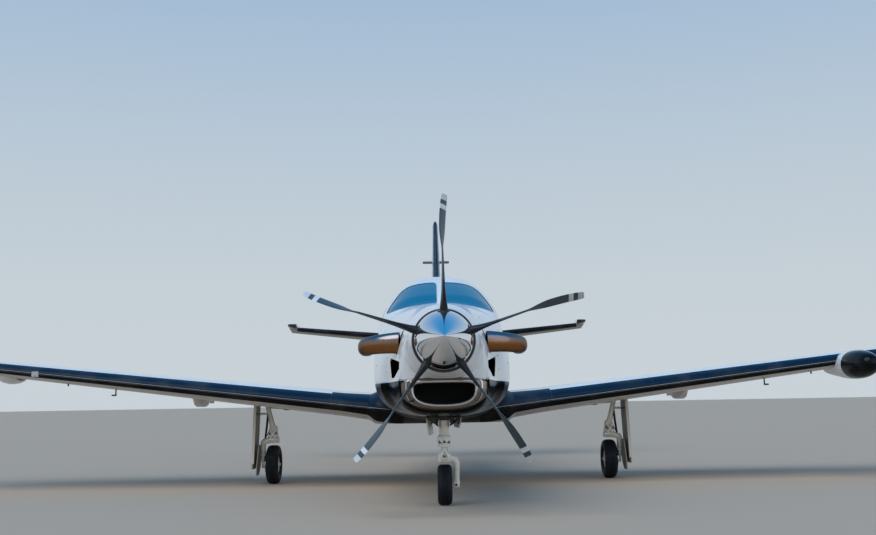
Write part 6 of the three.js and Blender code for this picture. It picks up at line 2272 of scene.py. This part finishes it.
@dataclass
class Wheel:
    """A tyre and its rim."""

    name: str
    body: str
    x: float
    station: float
    radius: float
    half: float
    rim: float
    grooves: tuple[float, ...]
    solid_sides: int = 24

    def build(self) -> None:
        """Make the tyre with its grooves, and the rim with its bolts."""
        r = height = self.radius * cos(pi / self.solid_sides)
        h, b, spot = self.half, self.rim, (self.x, self.station, height)
        wall = [(b, 0.62), (b + 5, 0.74), (r * 0.6, 0.93), (r * 0.74, 1.0), (r * 0.84, 0.97), (r * 0.92, 0.87)]
        wall += [(r * 0.965, 0.7), (r * 0.99, 0.5), (r * 0.994, 0.44)]
        tread = [
            (r - depth, (groove + offset) * h)
            for groove in self.grooves for offset, depth in ((-0.05, 0), (-0.035, 6), (0.035, 6), (0.05, 0))
        ]
        profile = [(s, -w * h) for s, w in wall] + tread + [(s, w * h) for s, w in wall[::-1]]
        tyre = Shape.turned([*profile, profile[0]], spot, "x", 96)
        place(f"{self.name}_tyre_tread", tyre, TYRE, self.body, f"{self.name}_tyre", angle=28)
        well = [(17, 0.8), (b * 0.36, 0.8), (b * 0.42, 0.74), (b * 0.5, 0.36), (b * 0.72, 0.3), (b * 0.84, 0.42)]
        well += [(b * 0.9, 0.6), (b + 3, 0.66), (b + 5, 0.6), (b - 1, 0.5)]
        rim = [(s, -w * h) for s, w in well] + [(s, w * h) for s, w in well[::-1]]
        disc = Shape.turned([*rim, rim[0]], spot, "x", 72)
        place(f"{self.name}_rim_disc", disc, RIM_PAINT, self.body, f"{self.name}_rim", angle=30)
        bolts, head = [], [(0, -4), (5.5, -4), (5.5, 4), (4, 5), (0, 5)]
        for x in (self.x - h * 0.33, self.x + h * 0.33):
            for across, up in zip(*circle(8)):
                centre = (x, self.station + b * 0.6 * across, height + b * 0.6 * up)
                bolts.append(Shape.turned(head, centre, "x", 6))
        place(f"{self.name}_rim_bolts", joined(bolts), STEEL, self.body)


@dataclass
class NoseGear:
    """The nose leg, its fork and its doors."""

    strut: float = 1500.0
    axle: float = 1600.0
    axle_height: float = 176.48
    arm: float = 105.0
    door_front: float = 1482.0
    door_toe: float = 0.05

    def build(self) -> None:
        """Make the leg from the bay down to the axle."""
        self.leg()
        self.fork()
        self.link()
        self.linkage()
        self.doors()

    def leg(self) -> None:
        """Make the fixed cylinder with its collar and the piston that steers."""
        s = self.strut
        centre = (0, s, 0)
        collar = [
            (29, 508), (56, 508), (60, 513), (60, 528), (54, 533), (54, 548), (64, 554), (64, 586), (58, 600),
            (44, 608),
            (29, 608), (29, 508),
        ]
        parts = [
            Shape.turned(
                [(30, 562), (41, 562), (41, 900), (44, 905), (44, 955), (30, 960), (30, 562)], centre, "z", 40,
            ),
            Shape.tube([(0, s, 930), (0, 2349, 930)], 26, 24),
            Shape.tube([(0, 2338, 930), (0, 2349.5, 930)], 60, 32),
            Shape.tube([(-120, s, 850), (120, s, 850)], 18, 24),
            Shape.turned(collar, centre, "z", 48),
        ]
        place("nose_leg_cylinder", joined(parts), CREAM, replaces="nose_leg", angle=35)
        eyes = [
            Shape.prism([(x - 13, z - 12), (x + 13, z - 12), (x, z + 16)], "y", s - back - 1, s - back + 30)
            for x, z, back in ((-40, 554, 50), (0, 556, 66), (40, 554, 50))
        ]
        place("collar_eyes", joined(eyes), DARK_PARTS)
        piston = Shape.turned([(0, 430), (28, 430), (28, 632), (0, 632)], centre, "z", 40)
        place("nose_piston", piston, STEEL, "nose_fork")

    def fork(self) -> None:
        """Make the one-sided fork and its axle."""
        s, hub, axle = self.strut, (self.arm, self.axle, self.axle_height), (-58, self.axle, self.axle_height)
        boss = [(0, 372), (42, 372), (52, 380), (54, 392), (54, 440), (44, 458), (30, 464), (0, 464)]
        bend = [
            (0, s, 412), (46, s + 12, 408), (90, s + 34, 394), (self.arm, s + 45, 364), (self.arm, s + 62, 320),
            (self.arm, s + 92, 220), hub,
        ]
        parts = [
            Shape.turned(boss, (0, s, 0), "z", 44),
            Shape.tube(bend, [34, 33, 30, 28, 26, 24, 24], 28),
            Shape.turned([(0, -26), (30, -26), (34, -22), (34, 22), (30, 26), (0, 26)], hub, "x", 40),
            Shape.tube([axle, hub], 15.4, 24),
        ]
        place("nose_fork_arm", joined(parts), CREAM, "nose_fork", "nose_fork", angle=40)
        eyes = [
            Shape.prism([(-14, 436), (14, 436), (0, 414)], "y", s - 62, s - 40),
            Shape.turned([(0, 25), (16, 25), (16, 28), (12, 29), (0, 29)], hub, "x", 24),
            Shape.turned(
                [(0, -48), (11, -48), (11, -44), (0, -44)], (self.arm - 6, self.axle, self.axle_height), "y", 20,
            ),
        ]
        place("fork_eyes", joined(eyes), DARK_PARTS, "nose_fork")

    def link(self) -> None:
        """Make the scissor link between the cylinder and the fork."""
        s = self.strut
        bars = [Shape.tube([(side * 3, s - 60, 492), (side * 42, s - 66, 408)], 9, 16) for side in (-1, 1)]
        bars.append(Shape.tube([(-44, s - 66, 405), (44, s - 66, 405)], 9, 16))
        bars.append(Shape.tube([(0, s - 60, 492), (0, s - 30, 500)], 13, 16))
        place("nose_scissor_link", joined(bars), CREAM, "nose_fork")

    def linkage(self) -> None:
        """Make the dark rods and levers at the leg's top."""
        s = self.strut
        rods = [
            Shape.tube([(-136, s - 62, 760), (128, s - 62, 764)], 10, 16),
            Shape.slab((-40, s - 72, 738), (42, s - 48, 784)),
            Shape.slab((-114, s - 60, 712), (-66, s - 20, 792)),
            Shape.prism([(98, 794), (156, 794), (134, 700), (122, 700)], "y", s - 60, s - 24),
            Shape.tube([(-150, s + 90, 770), (-60, s - 10, 700), (-44, s - 30, 690)], 10, 16),
            Shape.tube([(150, s + 90, 770), (70, s - 10, 705), (44, s - 30, 695)], 10, 16),
            Shape.tube([(-60, s - 30, 712), (-60, s - 30, 772)], 13, 16),
            Shape.tube([(62, s - 30, 716), (62, s - 30, 776)], 14, 16),
        ]
        place("steering_rods", joined(rods), DARK_PARTS, angle=40)
        outline = rounded_corners([(s - 66, 690), (s - 20, 676), (s + 30, 690), (s + 24, 740), (s - 50, 744)], 12)
        plates = [Shape.prism(outline, "x", x - 5, x + 5) for x in (-46, 46)]
        place("steering_plates", joined(plates), CREAM, angle=30)

    def doors(self) -> None:
        """Make the two doors beside the bay."""
        front = self.door_front
        for name, top_x, low_x, low, toe in (
            ("nose_door_right", -166, -136, 608, self.door_toe), ("nose_door_left", 150, 126, 668, -self.door_toe),
        ):
            corners = [(front, 769), (2118, 766), (2118, low + 30), (2060, low), (1540, low), (front, low + 30)]
            lean = (low_x - top_x) / (low - 800)
            near = [(top_x + (z - 800) * lean + (s - front) * toe, s, z) for s, z in rounded_corners(corners, 40)]
            rings = [[(x + dx, s, z) for x, s, z in near] for dx in (0.5, 2.5, 13.5, 15.5)]
            place(f"{name}_panel", Shape.loft(rings), DOOR_PAINT, replaces=name, angle=30)


@dataclass
class MainGear:
    """Both main legs with their trailing arms, brakes and doors."""

    x: float = 1932.0
    arm: float = 2044.0
    axle: float = 4450.0
    axle_height: float = 218.12
    knee: tuple[float, float, float] = (1918, 4330, 600)
    toe: float = 0.03

    def leg(self) -> Shape:
        """The painted castings.

        Returns:
            Their shape.
        """
        kx, ks, _ = self.knee
        hub = (self.arm, self.axle, self.axle_height)
        block = [
            [(kx + dx * w, ks + ds * w, z) for dx, ds in rounded(0, 0, 112, 116, 24)]
            for z, w in ((488, 0.9), (496, 1.05), (520, 1.12), (560, 0.95), (620, 0.84), (648, 0.74), (660, 0.56))
        ]
        cross = [(kx - 62, ks, 498), (kx + 50, ks + 4, 494), (self.arm - 14, ks + 12, 480)]
        trail = [(self.arm - 26, ks + 6, 490), (self.arm - 6, ks + 16, 468), (self.arm, ks + 50, 410)]
        return joined([
            Shape.tube(
                [(2002, 4320, 958), (1984, 4322, 872), (1944, 4327, 716), (1926, 4329, 640)], [26, 26, 29, 34], 36,
            ),
            Shape.tube([(2040, 4250, 925), (2040, 4520, 925)], 30, 28),
            Shape.loft(block),
            Shape.tube(cross, [30, 31, 31], 32),
            Shape.tube([*trail, (self.arm, ks + 84, 320), hub], [31, 31, 28, 26, 27], 32),
            Shape.turned([(0, -22), (38, -22), (42, -18), (42, 18), (38, 22), (0, 22)], hub, "x", 40),
            Shape.tube([(self.x - 74, self.axle, self.axle_height), hub], 15.4, 24),
        ])

    def build(self) -> None:
        """Make both legs and what they carry."""
        strut = Shape.tube([(2002, 4520, 915), (2018, 4478, 665), (self.arm, 4440, 400)], [13, 13, 11], 24)
        place_pair("main_leg_{}_casting", self.leg(), CREAM, replaces="main_leg_{}", angle=38)
        place_pair("main_strut_{}", strut, DARK_PARTS)
        place_pair("main_strut_rod_{}", Shape.tube([(2012, 4494, 760), (self.arm, 4440, 405)], 7, 20), STEEL)
        self.knee_fittings()
        self.brakes()
        self.doors()

    def knee_fittings(self) -> None:
        """Make the caps and links at each leg's knee, and dark prisms painted as shade between its parts."""
        kx, ks, _ = self.knee
        brown = replace(STEEL, name="dull_fittings", colour=(0.3, 0.27, 0.23), roughness=0.3)
        profile = [(0, -8), (12, -8), (12, 2), (8, 5), (0, 5)]
        spots = ((-40, -66, 524), (40, -66, 524), (0, -64, 540), (-26, -55, 612), (28, -55, 606))
        caps = [Shape.turned(profile, (kx + dx, ks + ds, z), "y", 24) for dx, ds, z in spots]
        place_pair("main_leg_{}_caps", joined(caps), brown)
        links = [
            Shape.tube([(kx - way * 42, ks - 66, 630), (kx + way * 34, ks - 76, 516)], 9, 16) for way in (-1, 1)
        ]
        links.append(Shape.tube([(kx - 58, ks - 74, 508), (kx + 62, ks - 74, 504)], 10, 16))
        place_pair("main_knee_links_{}", joined(links), CREAM)
        # Painted shade: dark prisms stand between the knee's parts.
        gap_shades = [
            Shape.prism([(x - 14, z), (x + 14, z), (x, z + 26)], "y", ks - 64, ks - 30)
            for x, z in ((kx - 34, 566), (kx + 38, 562), (kx, 528))
        ]
        place_pair("main_knee_gaps_{}", joined(gap_shades), DARK_PARTS)

    def brakes(self) -> None:
        """Make each wheel's brake disc, its calliper and its pipe."""
        kx, ks, _ = self.knee
        x, s, z = self.x, self.axle, self.axle_height
        disc = Shape.turned([(60, 84), (98, 84), (98, 91), (60, 91), (60, 84)], (x, s, z), "x", 64)
        place_pair("brake_disc_{}", disc, STEEL, "main_wheel_{}")
        block = [[(x + dx, s + ds, z + dz) for ds, dz in rounded(-66, 66, 74, 60, 16)] for dx in (78, 98)]
        place_pair("brake_calliper_{}", Shape.loft(block), DARK_PARTS)
        path = [
            (kx + 40, ks + 50, 640), (kx + 80, ks + 62, 560), (2056, ks + 60, 470), (2062, ks + 90, 350),
            (2020, s - 50, 290), (2004, s - 66, 284),
        ]
        place_pair("brake_hose_{}", Shape.tube(path, 5, 14), replace(DARK_PARTS, name="hose_black", slot="rubber"))

    def doors(self) -> None:
        """Make each leg's two doors and their links."""
        for name, (top_x, top_z), (low_x, low_z), (front, rear), thick, crown, slope in (
            ("upper", (2102, 930), (2132, 176), (4160, 4640), 16, 905, 22),
            ("lower", (2076, 445), (2110, 96), (4300, 4620), 14, 445, 0),
        ):
            corners = [
                (front + 2, crown), (rear - 2, crown - slope), (rear - 2, low_z + 90), (rear - 70, low_z),
                (front + 60, low_z), (front + 2, low_z + 70),
            ]
            lean = (low_x - top_x) / (low_z - top_z)
            near = [
                (top_x + (z - top_z) * lean + (s - front) * self.toe, s, z) for s, z in rounded_corners(corners, 46)
            ]
            rings = [[(x + dx, s, z) for x, s, z in near] for dx in (0.3, 2, thick - 2, thick - 0.3)]
            # Paint 1, the inner face, takes the darker painted shade.
            leaf = Shape.loft(rings, paint=[1, 0, 0])
            if name == "upper":
                section = ((-14, 0), (15, -2), (15, 12), (-14, 12))
                leaf = leaf + Shape.loft([
                    [(top_x + (z - top_z) * lean + dx, front + ds, z) for dx, ds in section]
                    for z in np.linspace(low_z + 66, crown - 20, 8)
                ])
            node = f"main_door_{name}_{{}}"
            place_pair(f"{node}_panel", leaf, (DOOR_PAINT, DOOR_INSIDE_SHADE), replaces=node, angle=30)
        upper = Shape.tube([(1950, 4326, 800), (2122, 4326, 792)], 12, 20)
        lower = Shape.tube([(self.arm, 4400, 330), (2088, 4400, 330)], 12, 20)
        place_pair("main_door_links_{}", upper + lower, STEEL)


@dataclass
class EngineBlock:
    """The engine behind the cowls, as far as it shows through the openings."""

    def build(self) -> None:
        """Dress the plain block."""
        axis = (0, 0, 1385)
        rows = [(0, 720), (60, 720), (90, 728), (196, 734), (200, 745), (200, 990), (236, 1004), (240, 1012)]
        for s in range(1080, 2200, 140):
            rows += [(240, s), (232, s + 4), (232, s + 22), (240, s + 26)]
        rows += [(240, 2348), (0, 2348)]
        place("engine_case", Shape.turned(rows, axis, "y", 72), ENGINE_GREY, replaces="engine", angle=30)


@dataclass
class Studio:
    """The floor, the light and the camera."""

    place: tuple[float, float, float] = (-0.1011, -12.9831, 0.8962)
    yaw: float = radians(0.452)
    pitch: float = radians(7.41)
    roll: float = radians(-0.978)
    lens: float = 42.516
    floor_half: float = 400.0
    floor_colour: Colour = (0.48, 0.385, 0.3)
    low_sky: Colour = (0.72, 0.80, 0.85)
    high_sky: Colour = (0.05, 0.36, 0.80)

    def camera(self) -> None:
        """Put the camera where the photograph was taken from."""
        forward = Vector((sin(self.yaw) * cos(self.pitch), cos(self.yaw) * cos(self.pitch), sin(self.pitch)))
        right = Vector((cos(self.yaw), -sin(self.yaw), 0.0))
        up = right.cross(forward)
        side = right * cos(self.roll) + up * sin(self.roll)
        top = up * cos(self.roll) - right * sin(self.roll)
        camera = in_scene("camera", bpy.data.cameras.new("camera"))
        camera.data.lens, camera.data.sensor_width, camera.data.clip_end = self.lens, 36.0, 2000.0
        camera.matrix_world = Matrix.Translation(self.place) @ Matrix((side, top, -forward)).transposed().to_4x4()
        bpy.context.scene.camera = camera

    def floor(self) -> None:
        """Lay a wide pale floor."""
        mesh, half = bpy.data.meshes.new("floor"), self.floor_half
        mesh.from_pydata(
            [(-half, -half, 0), (half, -half, 0), (half, half, 0), (-half, half, 0)], [], [(0, 1, 2, 3)],
        )
        floor = in_scene("floor", mesh)
        made = bpy.data.materials.new("floor_pale")
        made.use_nodes = True
        shader = made.node_tree.nodes["Principled BSDF"]
        shader.inputs["Base Color"].default_value = (*self.floor_colour, 1.0)
        shader.inputs["Roughness"].default_value = 0.95
        shader.inputs["Specular IOR Level"].default_value = 0.1
        mesh.materials.append(made)

    def sky(self) -> None:
        """Surround the scene with soft light that is bluer overhead."""
        world = bpy.data.worlds.new("soft_sky")
        world.use_nodes = True
        bpy.context.scene.world = world
        g = Graph(world.node_tree)
        background = world.node_tree.nodes["Background"]
        height = g.separate(g.add("ShaderNodeTexCoord").outputs["Generated"])[2]
        rise = g.step(height, 0.02, 0.85)
        g.feed(background.inputs["Color"], g.mix(rise, self.low_sky, self.high_sky, True))
        background.inputs["Strength"].default_value = 0.8

    def light(self, name: str, aim: Spot, power: float, spread: float, colour: Colour) -> None:
        """Shine one soft light from far away.

        Args:
            name: its name.
            aim: the way it shines.
            power: its strength.
            spread: how wide it looks, in degrees.
            colour: its colour.
        """
        lamp = bpy.data.lights.new(name, "SUN")
        lamp.angle, lamp.energy, lamp.color = radians(spread), power, colour
        in_scene(name, lamp).rotation_euler = Vector(aim).to_track_quat("-Z", "Y").to_euler()

    def build(self) -> None:
        """Set up everything around the aircraft."""
        self.camera()
        self.floor()
        self.sky()
        self.light("key_light", (0.45, 0.6, -1.0), 1.6, 50, (1.0, 0.96, 0.9))
        self.light("fill_light", (-0.6, 0.8, -0.45), 0.5, 60, (0.92, 0.96, 1.0))
        bpy.context.scene.view_settings.view_transform = "Standard"


def main() -> None:
    """Build every sub-assembly in order."""
    logging.basicConfig(level=logging.INFO, format="%(message)s")
    EffectLibrary().build()
    wheels = [Wheel("nose", "nose_wheel", 0, 1600, 178, 64, 88, (-0.3, 0.0, 0.3))]
    for word, x in (("left", 1932), ("right", -1932)):
        grooves = (-0.33, -0.11, 0.11, 0.33)
        wheels.append(Wheel(f"main_{word}", f"main_wheel_{word}", x, 4450, 220, 73, 105, grooves))
    fuselage = (Cowling(), Exhausts(), EngineBlock(), Cabin(), Interior(), TailCone())
    outside = (Propeller(), Wings(), RadarPod(), Tail(), Fin(), NoseGear(), MainGear())
    for assembly in (Studio(), *fuselage, *outside, *wheels):
        LOG.info("building %s", type(assembly).__name__)
        assembly.build()
    bpy.context.view_layer.update()


if __name__ == "__main__":
    main()
